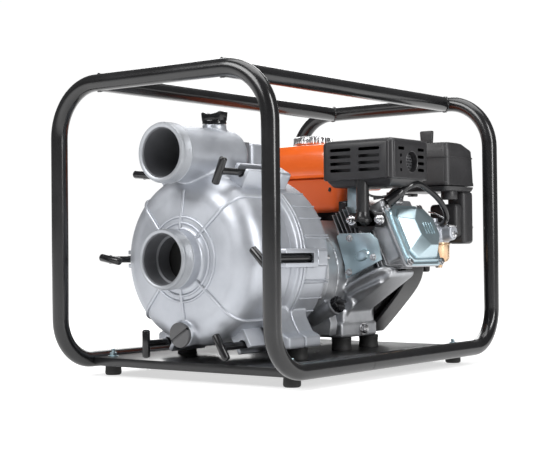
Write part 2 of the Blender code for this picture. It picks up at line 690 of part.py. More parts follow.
def build_shroud_plate():
    outline = [(0.0893, 0.145), (0.158, 0.176), (0.150, 0.2085), (0.137, 0.2185), (0.077, 0.2185),
               (0.072, 0.2135), (0.0868, 0.169)]
    sheet = plate(outline, 0.0355, 0.0385)
    boss = cylinder((0.122, 0.0315, 0.183), (0.122, 0.037, 0.183), 0.014, sides=20)
    make("cylinder_shroud", "zinc", sheet, adds=[boss])


def build_exhaust():
    """A short cast elbow: out of the head's port, then straight up to the muffler."""
    port = on_cylinder(*PORT_UV, 0.0446)
    riser = cylinder((port.x, PIPE_Y, port.z - 0.010), (port.x, PIPE_Y, 0.3070), 0.0108, sides=20)
    stub = cylinder((port.x, port.y - 0.002, port.z), (port.x, PIPE_Y, port.z), 0.0103, sides=20)
    flange = turned_box((port.x, port.y - 0.002, port.z), Vector((1, 0, 0)), Vector((0, 0, 1)),
                        (0.074, 0.004, 0.030), bevel=0.003, segments=1)
    nuts = [cylinder((port.x + dx, 0.033, port.z), (port.x + dx, 0.042, port.z), 0.0075, sides=6)
            for dx in (-0.027, 0.027)]
    make("exhaust_pipe", "black_enamel", riser, adds=[stub, flange] + nuts)
    return port


def build_muffler(port):
    """The muffler and the guard around it. The exhaust pipe comes up through the guard's floor."""
    body = box((0.068, 0.032, 0.3075), (0.178, 0.118, 0.356), bevel=0.010, segments=2)
    make("muffler", "black_enamel", body)
    wall = 0.0015
    low, high = GUARD_LOW, GUARD_HIGH
    guard = box(low, high, bevel=0.006, segments=2)
    belly = box((low.x + 0.016, low.y + 0.004, low.z - 0.012),
                (high.x - 0.012, high.y - 0.012, low.z + 0.001), bevel=0.004, segments=1)
    cuts = [
        box(low + Vector((-0.01, wall, wall)), high - Vector((wall,) * 3), bevel=0.006 - wall),
        cylinder((port.x, PIPE_Y, 0.28), (port.x, PIPE_Y, 0.32), 0.0113, sides=20),
        cylinder((high.x - 0.01, 0.076, 0.331), (high.x + 0.01, 0.076, 0.331), 0.017, sides=24),
    ]
    for row in range(4):
        z = low.z + 0.0136 + 0.0108 * row
        for column in range(2):
            x = low.x + 0.0175 + 0.0545 * column
            cuts.append(box((x, low.y - 0.01, z), (x + 0.040, low.y + 0.01, z + 0.0048)))
        for y, width in ((low.y + 0.021, 0.008), (high.y - 0.034, 0.017)):
            cuts.append(box((high.x - 0.01, y, z), (high.x + 0.01, y + width, z + 0.0048)))
    make("muffler_guard", "black_enamel", guard, adds=[belly], cuts=cuts, solver="MANIFOLD")


def build_tank():
    upper = box(TANK_LOW, TANK_HIGH, bevel=0.030, segments=3)
    lower = box((-0.140, 0.086, 0.258), (0.052, 0.160, 0.311), bevel=0.012, segments=2)
    middle = box((-0.145, 0.082, 0.288), (0.033, 0.251, 0.334), bevel=0.010, segments=1)
    seam = box((-0.152, 0.076, 0.3165), (0.040, 0.257, 0.3195), bevel=0.001, segments=1)
    neck = cylinder((CAP_X, CAP_Y, 0.360), (CAP_X, CAP_Y, 0.3785), 0.027, sides=28)
    mouth = cylinder((CAP_X, CAP_Y, 0.345), (CAP_X, CAP_Y, 0.39), 0.022, sides=24)
    make("fuel_tank", "tank_orange", upper, adds=[middle, lower, seam, neck], cuts=[mouth])
    seat = (CAP_X, CAP_Y, 0.3788)
    cap = turned([(0, 0.0110), (0.030, 0.0110), (0.034, 0.0085), (0.034, -0.004), (0.0285, -0.004),
                  (0.0285, 0), (0.0210, 0), (0.0210, -0.010), (0, -0.010)],
                 z=seat[2], x=CAP_X, y=CAP_Y, steps=24, upright=True)
    make("fuel_cap", "chrome", cap, origin=seat)


def build_air_cleaner():
    low, high = CLEANER_LOW, CLEANER_HIGH
    cover = box(low, high, bevel=0.009, segments=2)
    inside = box(low + Vector((0.003, 0.003, -0.01)), high - Vector((0.003,) * 3), bevel=0.006)
    stud_hole = cylinder((KNOB_X, 0.250, 0.36), (KNOB_X, 0.250, 0.38), 0.0040, sides=12)
    make("air_cleaner_cover", "black_plastic", cover, cuts=[inside, stud_hole])
    element = box((0.089, 0.212, 0.3000), (0.176, 0.284, 0.352), bevel=0.004, segments=1)
    make("filter_element", "gasket", element)
    base = box((low.x + 0.002, low.y + 0.002, 0.2885), (high.x - 0.002, high.y - 0.001, 0.2972))
    elbow = box((0.150, 0.2555, 0.200), (high.x - 0.002, high.y - 0.003, 0.290), bevel=0.004)
    make("air_cleaner_base", "black_plastic", base, adds=[elbow])
    seat = (KNOB_X, 0.250, high.z + GAP)
    boss = cylinder(seat, (KNOB_X, 0.250, 0.377), 0.009, sides=16)
    wing = box((KNOB_X - 0.0115, 0.247, 0.375), (KNOB_X + 0.0115, 0.253, 0.3965), bevel=0.001,
               segments=1)
    pin = cylinder((KNOB_X, 0.250, 0.358), (KNOB_X, 0.250, 0.374), 0.0032, sides=10)
    make("air_cleaner_knob", "black_plastic", boss, adds=[wing, pin], origin=seat)


def build_carburettor():
    body = box((0.130, 0.196, 0.2035), (0.171, 0.2552, 0.243), bevel=0.004)
    port = on_cylinder(*INTAKE_UV)
    throat = cylinder((port.x, 0.150, port.z), (port.x, 0.200, port.z), 0.0155, sides=20)
    make("carburettor", "cast_aluminium", body, adds=[throat])
    bowl = cylinder((CARB_X, CARB_Y, 0.168), (CARB_X, CARB_Y, 0.2032), 0.0185, sides=28,
                    bevel=0.003)
    drain = cylinder((CARB_X, CARB_Y, 0.160), (CARB_X, CARB_Y, 0.170), 0.0065, sides=6)
    make("float_bowl", "brass", bowl, adds=[drain])


def lever(name, material, pivot, axis, way, length, thickness=0.003):
    """A control lever that turns about axis at pivot and points along way, with a knob at its end."""
    pivot, axis, way = Vector(pivot), Vector(axis).normalized(), Vector(way).normalized()
    hub = cylinder(pivot - axis * thickness / 2, pivot + axis * thickness / 2, 0.0075, sides=16)
    arm = turned_box(pivot + way * length / 2, way, axis, (length, 0.009, thickness))
    tip = turned_box(pivot + way * length, way, axis, (0.014, 0.014, thickness * 2.4))
    make(name, material, hub, adds=[arm, tip], origin=pivot)


def build_controls():
    lever("throttle_lever", "black_plastic", (0.0645, 0.2135, 0.2880), (0, 0, 1), (0.1, 1, 0), 0.062)
    lever("choke_lever", "black_plastic", (0.1240, 0.240, 0.234), (1, 0, 0), (0, 1, 0.12), 0.042)
    lever("fuel_valve_lever", "black_plastic", (0.1240, 0.216, 0.214), (1, 0, 0), (0, 0.6, -0.8),
          0.022)
    rocker = box((-0.078, 0.2556, 0.212), (-0.056, 0.262, 0.230), bevel=0.0015, segments=1)
    grip = box((-0.070, 0.2560, 0.2140), (-0.064, 0.2705, 0.2280))
    make("stop_switch", "black_plastic", rocker, adds=[grip], origin=(-0.067, 0.2588, 0.221))


def fan_outline(wall):
    """The fan housing's outline, or its inside's: a circle with one flat side."""
    outline = []
    for step in range(36):
        turn = math.radians(10 * step)
        facing = math.cos(turn + math.radians(43))
        reach = FAN_R if facing <= 0 else min(FAN_R, FAN_FLAT / facing)
        outline.append(((reach - wall) * math.cos(turn), CRANK_Z + (reach - wall) * math.sin(turn)))
    return outline


def build_fan_end():
    """The fan housing, the flywheel in it, and the recoil starter on its back."""
    wall = 0.002
    front = BLOCK_BACK + GAP
    housing = plate(fan_outline(0), front, FAN_BACK)
    crown = box((-0.100, front, 0.200), (0.070, FAN_BACK, 0.254))
    inside = plate(fan_outline(wall), front - 0.01, FAN_BACK - wall)
    crown_inside = box((-0.098, front - 0.01, 0.200), (0.068, FAN_BACK - wall, 0.252))
    floor = box((-0.15, front - 0.02, 0.01), (0.15, FAN_BACK + 0.02, 0.0505))
    eye = cylinder((0, FAN_BACK - 0.01, CRANK_Z), (0, FAN_BACK + 0.01, CRANK_Z), 0.070, sides=32)
    lead_hole = cylinder((0.060, 0.190, 0.24), (0.060, 0.190, 0.27), 0.0045, sides=12)
    make("fan_housing", "black_enamel", housing, adds=[crown],
         cuts=[inside, crown_inside, floor, eye, lead_hole])
    wheel = cylinder((0, 0.172, CRANK_Z), (0, 0.190, CRANK_Z), 0.089, sides=32)
    hub = cylinder((0, 0.171, CRANK_Z), (0, 0.212, CRANK_Z), 0.030, sides=24)
    blades = []
    for index in range(8):
        turn = 45 * index
        out = at_angle(1, turn, 0, 0)
        centre = at_angle(0.069, turn, 0.199, CRANK_Z)
        blades.append(turned_box(centre, out, out.cross(Vector((0, 1, 0))), (0.036, 0.020, 0.003)))
    bore = cylinder((0, 0.16, CRANK_Z), (0, 0.22, CRANK_Z), SHAFT_R - 0.002 + GAP, sides=20)
    make("flywheel", "cast_iron", wheel, adds=[hub] + blades, cuts=[bore],
         origin=(0, 0.18, CRANK_Z))
    build_recoil()


def build_recoil():
    front = FAN_BACK + GAP
    shell = turned([(0, RECOIL_BACK), (0.044, RECOIL_BACK), (0.072, RECOIL_BACK - 0.012),
                    (RECOIL_R, front + 0.010), (RECOIL_R, front + 0.003), (0.092, front + 0.003),
                    (0.092, front), (0, front)], CRANK_Z, steps=28)
    hollow = turned([(0, RECOIL_BACK - 0.0025), (0.042, RECOIL_BACK - 0.0025),
                     (0.070, RECOIL_BACK - 0.0145), (RECOIL_R - 0.0025, front + 0.009),
                     (RECOIL_R - 0.0025, front - 0.01), (0, front - 0.01)], CRANK_Z, steps=28)
    rope_guide = cylinder((0.060, 0.246, 0.180), (0.1003, 0.246, 0.180), 0.010, sides=20)
    rope_hole = cylinder((0.055, 0.246, 0.180), (0.11, 0.246, 0.180), 0.004, sides=12)
    switch_box = box((-0.080, front, 0.208), (-0.054, 0.2552, 0.234), bevel=0.001, segments=1)
    slots = []
    for index in range(6):
        turn = 60 * index + 30
        out = at_angle(1, turn, 0, 0)
        centre = at_angle(0.055, turn, 0.257, CRANK_Z)
        slots.append(turned_box(centre, out, out.cross(Vector((0, 1, 0))), (0.018, 0.030, 0.006)))
    make("recoil_cover", "black_enamel", shell, adds=[rope_guide, switch_box],
         cuts=[hollow, rope_hole] + slots, solver="MANIFOLD")
    seat = Vector((0.1006, 0.246, 0.180))
    stem = cylinder(seat, seat + Vector((0.009, 0, 0)), 0.0065, sides=14)
    bar = box((0.1066, 0.2385, 0.1525), (0.1196, 0.2535, 0.2075), bevel=0.004)
    make("starter_grip", "black_plastic", stem, adds=[bar], origin=seat)


def build_crankshaft():
    shaft = cylinder((0, -0.092, CRANK_Z), (0, 0.1705, CRANK_Z), SHAFT_R, sides=24)
    nose = cylinder((0, -0.168, CRANK_Z), (0, -0.090, CRANK_Z), SHAFT_R - 0.003, sides=20)
    tail = cylinder((0, 0.168, CRANK_Z), (0, 0.222, CRANK_Z), SHAFT_R - 0.002, sides=20)
    nut = cylinder((0, 0.2125, CRANK_Z), (0, 0.221, CRANK_Z), 0.014, sides=6)
    webs = [
        box((-0.017, y, CRANK_Z - 0.036), (0.017, y + 0.012, CRANK_Z + 0.040))
        for y in (0.068, 0.112)
    ]
    pin = cylinder((0, 0.070, CRANK_Z + 0.027), (0, 0.122, CRANK_Z + 0.027), 0.012, sides=20)
    space = cylinder((0, 0.080, CRANK_Z), (0, 0.112, CRANK_Z), 0.0145, sides=20)
    make("crankshaft", "steel", shaft, adds=[nose, tail, nut] + webs + [pin], cuts=[space],
         origin=(0, 0, CRANK_Z))


# ---------------------------------------------------------------- assembly

build_frame()
build_base()
build_front_cover()
build_rear_casing()
build_pump_inside()
build_clamp_knobs()
build_pump_caps()
build_block()
build_case_cover()
build_head()
build_shroud_plate()
build_muffler(build_exhaust())
build_tank()
build_air_cleaner()
build_carburettor()
build_controls()
build_fan_end()
build_crankshaft()
CUTTERS.hide_render = True
print(len(PARTS.objects), "parts")
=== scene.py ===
# %% [markdown]
# # A trash pump with its engine, in a tube frame
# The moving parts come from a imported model, which fixes every size. This lesson builds the
# surface that a buyer sees around it: castings, bent tube, sheet steel, plastic and rubber.
# Each step says what the piece is, how else it could be made, and why this way was chosen.

# %% Load the fixed frame
import math

import bmesh
import bpy
from mathutils import Matrix, Vector


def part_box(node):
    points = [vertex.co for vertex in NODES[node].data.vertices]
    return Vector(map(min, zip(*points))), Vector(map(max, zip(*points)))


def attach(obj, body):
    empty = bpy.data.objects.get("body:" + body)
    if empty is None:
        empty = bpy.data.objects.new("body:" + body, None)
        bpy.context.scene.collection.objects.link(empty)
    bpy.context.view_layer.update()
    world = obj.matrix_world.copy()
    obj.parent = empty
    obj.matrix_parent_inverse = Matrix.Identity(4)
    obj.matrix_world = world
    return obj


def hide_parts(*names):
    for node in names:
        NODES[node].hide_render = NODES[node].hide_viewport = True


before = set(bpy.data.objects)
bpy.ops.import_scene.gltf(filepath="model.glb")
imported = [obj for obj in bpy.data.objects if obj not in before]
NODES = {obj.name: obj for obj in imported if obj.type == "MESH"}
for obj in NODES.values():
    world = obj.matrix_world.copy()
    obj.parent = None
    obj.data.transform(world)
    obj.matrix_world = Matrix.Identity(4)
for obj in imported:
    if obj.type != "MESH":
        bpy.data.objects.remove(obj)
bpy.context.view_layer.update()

# %% [markdown]
# ## Colour management, camera and light
# A product shot on white is exposed so that the backdrop just reaches white. The Standard view
# keeps those whites and the orange as they are measured, where a filmic curve would grey them.
# The camera stands low, close to the height of the pump's shaft, and looks very slightly up.
# Big soft area lights do what softboxes do: long even streaks on black tube, and no hard shadow.

# %% Camera
scene = bpy.context.scene
scene.view_settings.view_transform = "Standard"
AZIMUTH, ELEVATION, ROLL = (math.radians(v) for v in (37.44, -1.12, -0.61))
back = Vector((math.sin(AZIMUTH) * math.cos(ELEVATION),
               -math.cos(AZIMUTH) * math.cos(ELEVATION), math.sin(ELEVATION)))
camera_data = bpy.data.cameras.new("camera")
camera_data.lens, camera_data.sensor_width = 84.19, 36
camera_data.clip_start, camera_data.clip_end = 0.05, 60
camera = bpy.data.objects.new("camera", camera_data)
scene.collection.objects.link(camera)
camera.location = (1.2595, -1.6790, 0.1927)
camera.rotation_mode = "QUATERNION"
level = (-back).to_track_quat("-Z", "Y")
camera.rotation_quaternion = level @ Matrix.Rotation(ROLL, 3, "Z").to_quaternion()
scene.camera = camera
print("camera", [round(v, 3) for v in camera.location], "lens", camera_data.lens, "mm")


# %% Lights and floor
def softbox(name, place, target, size, watts):
    """A rectangular lamp at place that faces target."""
    data = bpy.data.lights.new(name, "AREA")
    data.shape, data.size, data.size_y = "RECTANGLE", *size
    data.energy = watts
    lamp = bpy.data.objects.new(name, data)
    scene.collection.objects.link(lamp)
    lamp.location = place
    lamp.rotation_euler = (Vector(target) - Vector(place)).to_track_quat("-Z", "Y").to_euler()
    print(name, watts, "W")


softbox("key_softbox", (-0.6, -2.2, 1.9), (0, -0.1, 0.2), (1.8, 1.2), 60)
softbox("side_softbox", (2.3, -0.3, 1.2), (0.1, 0, 0.2), (0.55, 1.8), 40)
softbox("top_softbox", (0.1, 0.2, 2.3), (0, 0, 0), (1.6, 2.2), 36)
softbox("back_softbox", (-1.6, 2.0, 1.4), (0, 0, 0.3), (1.4, 1.4), 24)

world = bpy.data.worlds.new("studio")
world.use_nodes = True
sky = world.node_tree.nodes["Background"]
sky.inputs["Color"].default_value = (1, 1, 1, 1)
seen = world.node_tree.nodes.new("ShaderNodeLightPath")
level_of = world.node_tree.nodes.new("ShaderNodeMapRange")
level_of.inputs["To Min"].default_value, level_of.inputs["To Max"].default_value = 0.14, 1.02
world.node_tree.links.new(seen.outputs["Is Camera Ray"], level_of.inputs["Value"])
world.node_tree.links.new(level_of.outputs["Result"], sky.inputs["Strength"])
scene.world = world


# %% [markdown]
# ## Small tools
# Every piece starts as one or more closed shapes made with bmesh operators. A lathe spins a
# profile, a bar is a cone with equal ends, a block is a cube with rounded edges and a slab is
# an outline pulled up. The shapes of one piece are gathered into one mesh, its edges are
# marked sharp or smooth by their angle, and it is told which body it moves with.

# %% Placing a shape
def turned_to(origin, axis, up=(0, 0, 1)):
    """A matrix that puts its Z along axis at origin, and its Y as near up as it can be."""
    z = Vector(axis).normalized()
    x = Vector(up).cross(z)
    x = x.normalized() if x.length > 1e-6 else z.orthogonal().normalized()
    turn = Matrix((x, z.cross(x), z)).transposed().to_4x4()
    return Matrix.Translation(Vector(origin)) @ turn


def round_edges(bm, edges, width, steps):
    """A rounded edge. Blender's operator differs from the editor's tool, so all is given."""
    bmesh.ops.bevel(bm, geom=edges, offset=width, offset_type="OFFSET", segments=steps,
                    profile=0.5, affect="EDGES", clamp_overlap=True, material=-1)


def sharp_edges(bm, degrees=32):
    """Edges that turn by more than this angle."""
    return [e for e in bm.edges
            if len(e.link_faces) == 2 and e.calc_face_angle(0) > math.radians(degrees)]


# %% Basic shapes
def bar(start, end, radius, radius_end=None, sides=32, round_by=0, steps=2):
    """A round bar or cone from start to end."""
    start, end = Vector(start), Vector(end)
    bm = bmesh.new()
    bmesh.ops.create_cone(bm, cap_ends=True, segments=sides, radius1=radius,
                          radius2=radius if radius_end is None else radius_end,
                          depth=(end - start).length)
    if round_by:
        round_edges(bm, sharp_edges(bm, 50), round_by, steps)
    bm.transform(turned_to((start + end) / 2, end - start))
    return bm


def block(low, high, round_by=0, steps=3, turn=None):
    """A box between two corners, with rounded edges. turn is applied about its middle."""
    low, high = Vector(low), Vector(high)
    bm = bmesh.new()
    bmesh.ops.create_cube(bm, size=1)
    bmesh.ops.scale(bm, vec=high - low, verts=bm.verts)
    if round_by:
        round_edges(bm, bm.edges[:], round_by, steps)
    if turn is not None:
        bm.transform(turn)
    bmesh.ops.translate(bm, vec=(low + high) / 2, verts=bm.verts)
    return bm


def framed_block(centre, x_way, z_way, size, round_by=0, steps=2):
    """A box of this size at centre, with its X along x_way and its Z along z_way."""
    x, z = Vector(x_way).normalized(), Vector(z_way).normalized()
    half = Vector(size) / 2
    bm = block(-half, half, round_by, steps)
    bm.transform(Matrix.Translation(Vector(centre))
                 @ Matrix((x, z.cross(x), z)).transposed().to_4x4())
    return bm


def lathe(profile, origin, axis, sides=64):
    """profile lists (radius, distance along the axis), spun a full turn and closed."""
    bm = bmesh.new()
    line = [bm.verts.new((radius, 0, t)) for radius, t in profile]
    for first, second in zip(line, line[1:]):
        bm.edges.new((first, second))
    bmesh.ops.spin(bm, geom=bm.verts[:] + bm.edges[:], cent=(0, 0, 0), axis=(0, 0, 1),
                   angle=math.tau, steps=sides, use_merge=True)
    bmesh.ops.remove_doubles(bm, verts=bm.verts, dist=1e-6)
    bmesh.ops.recalc_face_normals(bm, faces=bm.faces)
    bm.transform(turned_to(origin, axis))
    return bm


def slab(outline, thickness, origin, normal, up=(0, 0, 1), round_by=0, steps=2):
    """A flat outline, pulled up by thickness along normal. Its Y is as near up as it can be."""
    bm = bmesh.new()
    face = bm.faces.new([bm.verts.new((a, b, 0)) for a, b in outline])
    pulled = bmesh.ops.extrude_face_region(bm, geom=[face])["geom"]
    bmesh.ops.translate(bm, vec=(0, 0, thickness),
                        verts=[g for g in pulled if isinstance(g, bmesh.types.BMVert)])
    bmesh.ops.recalc_face_normals(bm, faces=bm.faces)
    if round_by:
        round_edges(bm, sharp_edges(bm, 40), round_by, steps)
    bm.transform(turned_to(origin, normal, up))
    return bm


def pipe(points, radius, sides=24):
    """A round tube that follows points, with closed ends: a circle carried along the line."""
    points = [Vector(p) for p in points]
    ways = [(b - a).normalized() for a, b in zip(points, points[1:])]
    ways = [ways[0]] + [(a + b).normalized() for a, b in zip(ways, ways[1:])] + [ways[-1]]
    bm = bmesh.new()
    turn = Vector((0, 0, 1)).rotation_difference(ways[0])
    ring = bmesh.ops.create_circle(bm, cap_ends=False, segments=sides, radius=radius)["verts"]
    base = [v.co.copy() for v in ring]
    edges = list({e for v in ring for e in v.link_edges})
    start = bmesh.ops.edgeloop_fill(bm, edges=edges)["faces"]
    for index, (point, way) in enumerate(zip(points, ways)):
        if index:
            turn = ways[index - 1].rotation_difference(way) @ turn
            grown = bmesh.ops.extrude_edge_only(bm, edges=edges)["geom"]
            ring = [g for g in grown if isinstance(g, bmesh.types.BMVert)]
            edges = [g for g in grown if isinstance(g, bmesh.types.BMEdge)
                     and all(v in ring for v in g.verts)]
        for vert, co in zip(ring, base):
            vert.co = point + turn @ co
    bmesh.ops.edgeloop_fill(bm, edges=edges)
    bmesh.ops.recalc_face_normals(bm, faces=bm.faces)
    return bm


# %% Paths
def rounded_path(corners, radius, steps=16):
    """corners joined by straight runs, with an arc of this radius at each inner corner."""
    corners = [Vector(c) for c in corners]
    path = [corners[0]]
    for before, corner, after in zip(corners, corners[1:], corners[2:]):
        into, out = (corner - before).normalized(), (after - corner).normalized()
        half = into.angle(out) / 2
        centre = corner + (out - into).normalized() * radius / math.cos(half)
        first = corner - into * radius * math.tan(half) - centre
        for step in range(steps + 1):
            path.append(centre + Matrix.Rotation(2 * half * step / steps, 3,
                                                 into.cross(out)) @ first)
    return path + [corners[-1]]


def curved_path(points, steps=8):
    """A smooth line through points."""
    points = [Vector(p) for p in points]
    guides = [points[0] * 2 - points[1], *points, points[-1] * 2 - points[-2]]
    path = []
    for a, b, c, d in zip(guides, guides[1:], guides[2:], guides[3:]):
        for t in (step / steps for step in range(steps)):
            path.append(0.5 * (2 * b + (c - a) * t + (2 * a - 5 * b + 4 * c - d) * t**2
                               + (3 * b - a - 3 * c + d) * t**3))
    return path + [points[-1]]


# %% Gathering, cutting and keeping
def gathered(shapes):
    """Several shapes as one bmesh."""
    whole = bmesh.new()
    for shape in shapes:
        mesh = bpy.data.meshes.new("shape")
        shape.to_mesh(mesh)
        shape.free()
        whole.from_mesh(mesh)
        bpy.data.meshes.remove(mesh)
    return whole


def through_modifiers(bm, *settings):
    """bm after some modifiers. Each setting is a modifier's type and its values."""
    mesh = bpy.data.meshes.new("work")
    bm.to_mesh(mesh)
    bm.free()
    work = bpy.data.objects.new("work", mesh)
    scene.collection.objects.link(work)
    for kind, values in settings:
        modifier = work.modifiers.new(kind.lower(), kind)
        for key, value in values.items():
            setattr(modifier, key, value)
    made = work.evaluated_get(bpy.context.evaluated_depsgraph_get())
    result = bmesh.new()
    result.from_mesh(made.to_mesh())
    made.to_mesh_clear()
    bpy.data.objects.remove(work)
    bpy.data.meshes.remove(mesh)
    return result


def cut(bm, *cutters):
    """bm with the cutters taken away."""
    mesh = bpy.data.meshes.new("cutter")
    tool_bm = gathered(cutters)
    tool_bm.to_mesh(mesh)
    tool_bm.free()
    tool = bpy.data.objects.new("cutter", mesh)
    scene.collection.objects.link(tool)
    tool.hide_render = True
    result = through_modifiers(bm, ("BOOLEAN", {"operation": "DIFFERENCE", "solver": "EXACT",
                                                "use_self": len(cutters) > 1, "object": tool}))
    bpy.data.objects.remove(tool)
    bpy.data.meshes.remove(mesh)
    return result


def fused(shapes, voxel, smoothing=3):
    """One skin over overlapping shapes, with the soft inner corners that a casting has."""
    bm = through_modifiers(gathered(shapes), ("REMESH", {"mode": "VOXEL", "voxel_size": voxel}))
    for _ in range(smoothing):
        bmesh.ops.smooth_vert(bm, verts=bm.verts, factor=0.5, use_axis_x=True,
                              use_axis_y=True, use_axis_z=True)
    return bm


def keep(name, bm, body, finish, replaces=(), crease=34):
    """Writes bm as the finished piece called name, which moves with body."""
    for face in bm.faces:
        face.smooth = True
        face.material_index = 0
    for edge in bm.edges:
        edge.smooth = len(edge.link_faces) == 2 and edge.calc_face_angle(0) < math.radians(crease)
    mesh = bpy.data.meshes.new(name)
    bm.to_mesh(mesh)
    bm.free()
    mesh.materials.append(FINISHES[finish])
    piece = bpy.data.objects.new(name, mesh)
    scene.collection.objects.link(piece)
    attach(piece, body)
    if replaces:
        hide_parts(*replaces)
    print(name, len(mesh.polygons), "faces")
    return piece


def refined(node, width, finish, body="pump_set", steps=2, crease=34):
    """The CAD node's own shape with its flat faces joined and its sharp edges rounded."""
    bm = bmesh.new()
    bm.from_mesh(NODES[node].data)
    bmesh.ops.remove_doubles(bm, verts=bm.verts, dist=2e-6)
    bmesh.ops.dissolve_limit(bm, angle_limit=math.radians(1), verts=bm.verts, edges=bm.edges)
    if width:
        bmesh.ops.bevel(bm, geom=sharp_edges(bm, 38), offset=width, offset_type="OFFSET",
                        segments=steps, profile=0.5, affect="EDGES", clamp_overlap=False,
                        material=-1)
    return keep(f"{node}_finished", bm, body, finish, [node], crease)


# %% [markdown]
# ## Finishes
# No real surface has one flat value. Each finish mixes two close colours through a slow noise,
# lets the gloss wander with it, and raises a fine grain as bump: orange peel on enamel, blast
# marks on a casting, spark texture on moulded plastic. One recipe with different numbers is
# easier to keep even than fifteen hand-made node trees, and image textures would need unwrapping.


# %% The recipe
def finish(name, slot, colours, rough, grain, blotch=14, metallic=0.0, coat=0.0,
           coat_rough=0.05, wave=0.0):
    """colours: two ends of the mix. rough: lowest and highest roughness.
    grain: (size of the bumps as a scale, strength, height in metres)."""
    material = bpy.data.materials.new(name)
    material.use_nodes = True
    nodes, links = material.node_tree.nodes, material.node_tree.links
    shader = nodes["Principled BSDF"]
    shader.inputs["Metallic"].default_value = metallic
    shader.inputs["Coat Weight"].default_value = coat
    shader.inputs["Coat Roughness"].default_value = coat_rough
    place = nodes.new("ShaderNodeTexCoord")
    slow = nodes.new("ShaderNodeTexNoise")
    slow.inputs["Scale"].default_value = blotch
    slow.inputs["Detail"].default_value = 6
    slow.inputs["Roughness"].default_value = 0.62
    links.new(place.outputs["Object"], slow.inputs["Vector"])
    mix = nodes.new("ShaderNodeValToRGB")
    mix.color_ramp.elements[0].position, mix.color_ramp.elements[1].position = 0.32, 0.68
    for element, colour in zip(mix.color_ramp.elements, colours):
        element.color = (*colour, 1)
    links.new(slow.outputs["Fac"], mix.inputs["Fac"])
    links.new(mix.outputs["Color"], shader.inputs["Base Color"])
    gloss = nodes.new("ShaderNodeMapRange")
    gloss.inputs["From Min"].default_value, gloss.inputs["From Max"].default_value = 0.3, 0.7
    gloss.inputs["To Min"].default_value, gloss.inputs["To Max"].default_value = rough
    links.new(slow.outputs["Fac"], gloss.inputs["Value"])
    links.new(gloss.outputs["Result"], shader.inputs["Roughness"])
    fine = nodes.new("ShaderNodeTexNoise")
    fine.inputs["Scale"].default_value = grain[0]
    fine.inputs["Detail"].default_value = 3
    links.new(place.outputs["Object"], fine.inputs["Vector"])
    bump = nodes.new("ShaderNodeBump")
    bump.inputs["Strength"].default_value, bump.inputs["Distance"].default_value = grain[1:]
    links.new(fine.outputs["Fac"], bump.inputs["Height"])
    links.new(bump.outputs["Normal"], shader.inputs["Normal"])
    if wave:
        broad = nodes.new("ShaderNodeTexNoise")
        broad.inputs["Scale"].default_value = 30
        links.new(place.outputs["Object"], broad.inputs["Vector"])
        swell = nodes.new("ShaderNodeBump")
        swell.inputs["Strength"].default_value, swell.inputs["Distance"].default_value = 1, wave
        links.new(broad.outputs["Fac"], swell.inputs["Height"])
        links.new(swell.outputs["Normal"], bump.inputs["Normal"])
    FINISHES[name], SLOTS[name] = material, slot


FINISHES, SLOTS = {}, {}
finish("tube enamel", "black_enamel", [(0.006, 0.006, 0.0065), (0.010, 0.010, 0.011)],
       (0.20, 0.26), (420, 0.02, 0.0001), coat=0.2, coat_rough=0.10)
finish("pan enamel", "black_enamel", [(0.008, 0.008, 0.009), (0.013, 0.013, 0.014)],
       (0.26, 0.34), (200, 0.02, 0.0001), coat=0.2, coat_rough=0.2)
finish("housing enamel", "black_enamel", [(0.010, 0.010, 0.011), (0.017, 0.017, 0.018)],
       (0.26, 0.38), (500, 0.12, 0.0004))
finish("guard enamel", "black_enamel", [(0.016, 0.0155, 0.017), (0.022, 0.0215, 0.0235)],
       (0.36, 0.46), (900, 0.25, 0.0004), coat=0.12, coat_rough=0.2)
finish("blasted casting", "cast_aluminium", [(0.43, 0.45, 0.49), (0.51, 0.53, 0.57)],
       (0.38, 0.50), (1100, 0.25, 0.0005), blotch=20, metallic=0.74)
finish("machined rim", "cast_aluminium", [(0.35, 0.365, 0.39), (0.43, 0.445, 0.47)],
       (0.38, 0.48), (800, 0.12, 0.0003), metallic=0.65)
finish("die casting", "engine_casting", [(0.40, 0.41, 0.43), (0.52, 0.53, 0.55)],
       (0.34, 0.48), (700, 0.25, 0.0006), blotch=40, metallic=0.85)
finish("dark fins", "engine_casting", [(0.10, 0.10, 0.105), (0.19, 0.19, 0.20)],
       (0.42, 0.58), (600, 0.3, 0.0006), blotch=60, metallic=0.7)
finish("zinc plate", "zinc_plate", [(0.42, 0.55, 0.60), (0.52, 0.64, 0.69)],
       (0.27, 0.36), (350, 0.06, 0.0002), blotch=25, metallic=0.9, wave=0.0004)
finish("steel", "steel", [(0.50, 0.50, 0.51), (0.62, 0.62, 0.63)],
       (0.22, 0.36), (900, 0.15, 0.0003), blotch=60, metallic=1.0)
finish("chrome", "chrome", [(0.74, 0.74, 0.75), (0.82, 0.82, 0.83)],
       (0.16, 0.24), (300, 0.05, 0.0002), metallic=1.0)
finish("brass plate", "brass", [(0.62, 0.40, 0.24), (0.74, 0.54, 0.36)],
       (0.18, 0.32), (400, 0.10, 0.0003), blotch=50, metallic=1.0)
# A dark finish that paints the shade lying deep inside the ports.
finish("bore painted shade", "cast_aluminium", [(0.13, 0.134, 0.145), (0.17, 0.174, 0.187)],
       (0.4, 0.55), (700, 0.2, 0.0004), metallic=0.35)
finish("plug plastic", "black_plastic", [(0.06, 0.06, 0.062), (0.085, 0.085, 0.088)],
       (0.35, 0.5), (900, 0.2, 0.0004))
finish("iron", "cast_iron", [(0.10, 0.10, 0.105), (0.17, 0.165, 0.16)],
       (0.5, 0.7), (500, 0.4, 0.0006), blotch=50, metallic=0.6)
finish("orange enamel", "tank_orange", [(0.74, 0.105, 0.008), (0.80, 0.130, 0.012)],
       (0.20, 0.28), (260, 0.06, 0.0004), coat=0.6, coat_rough=0.06)
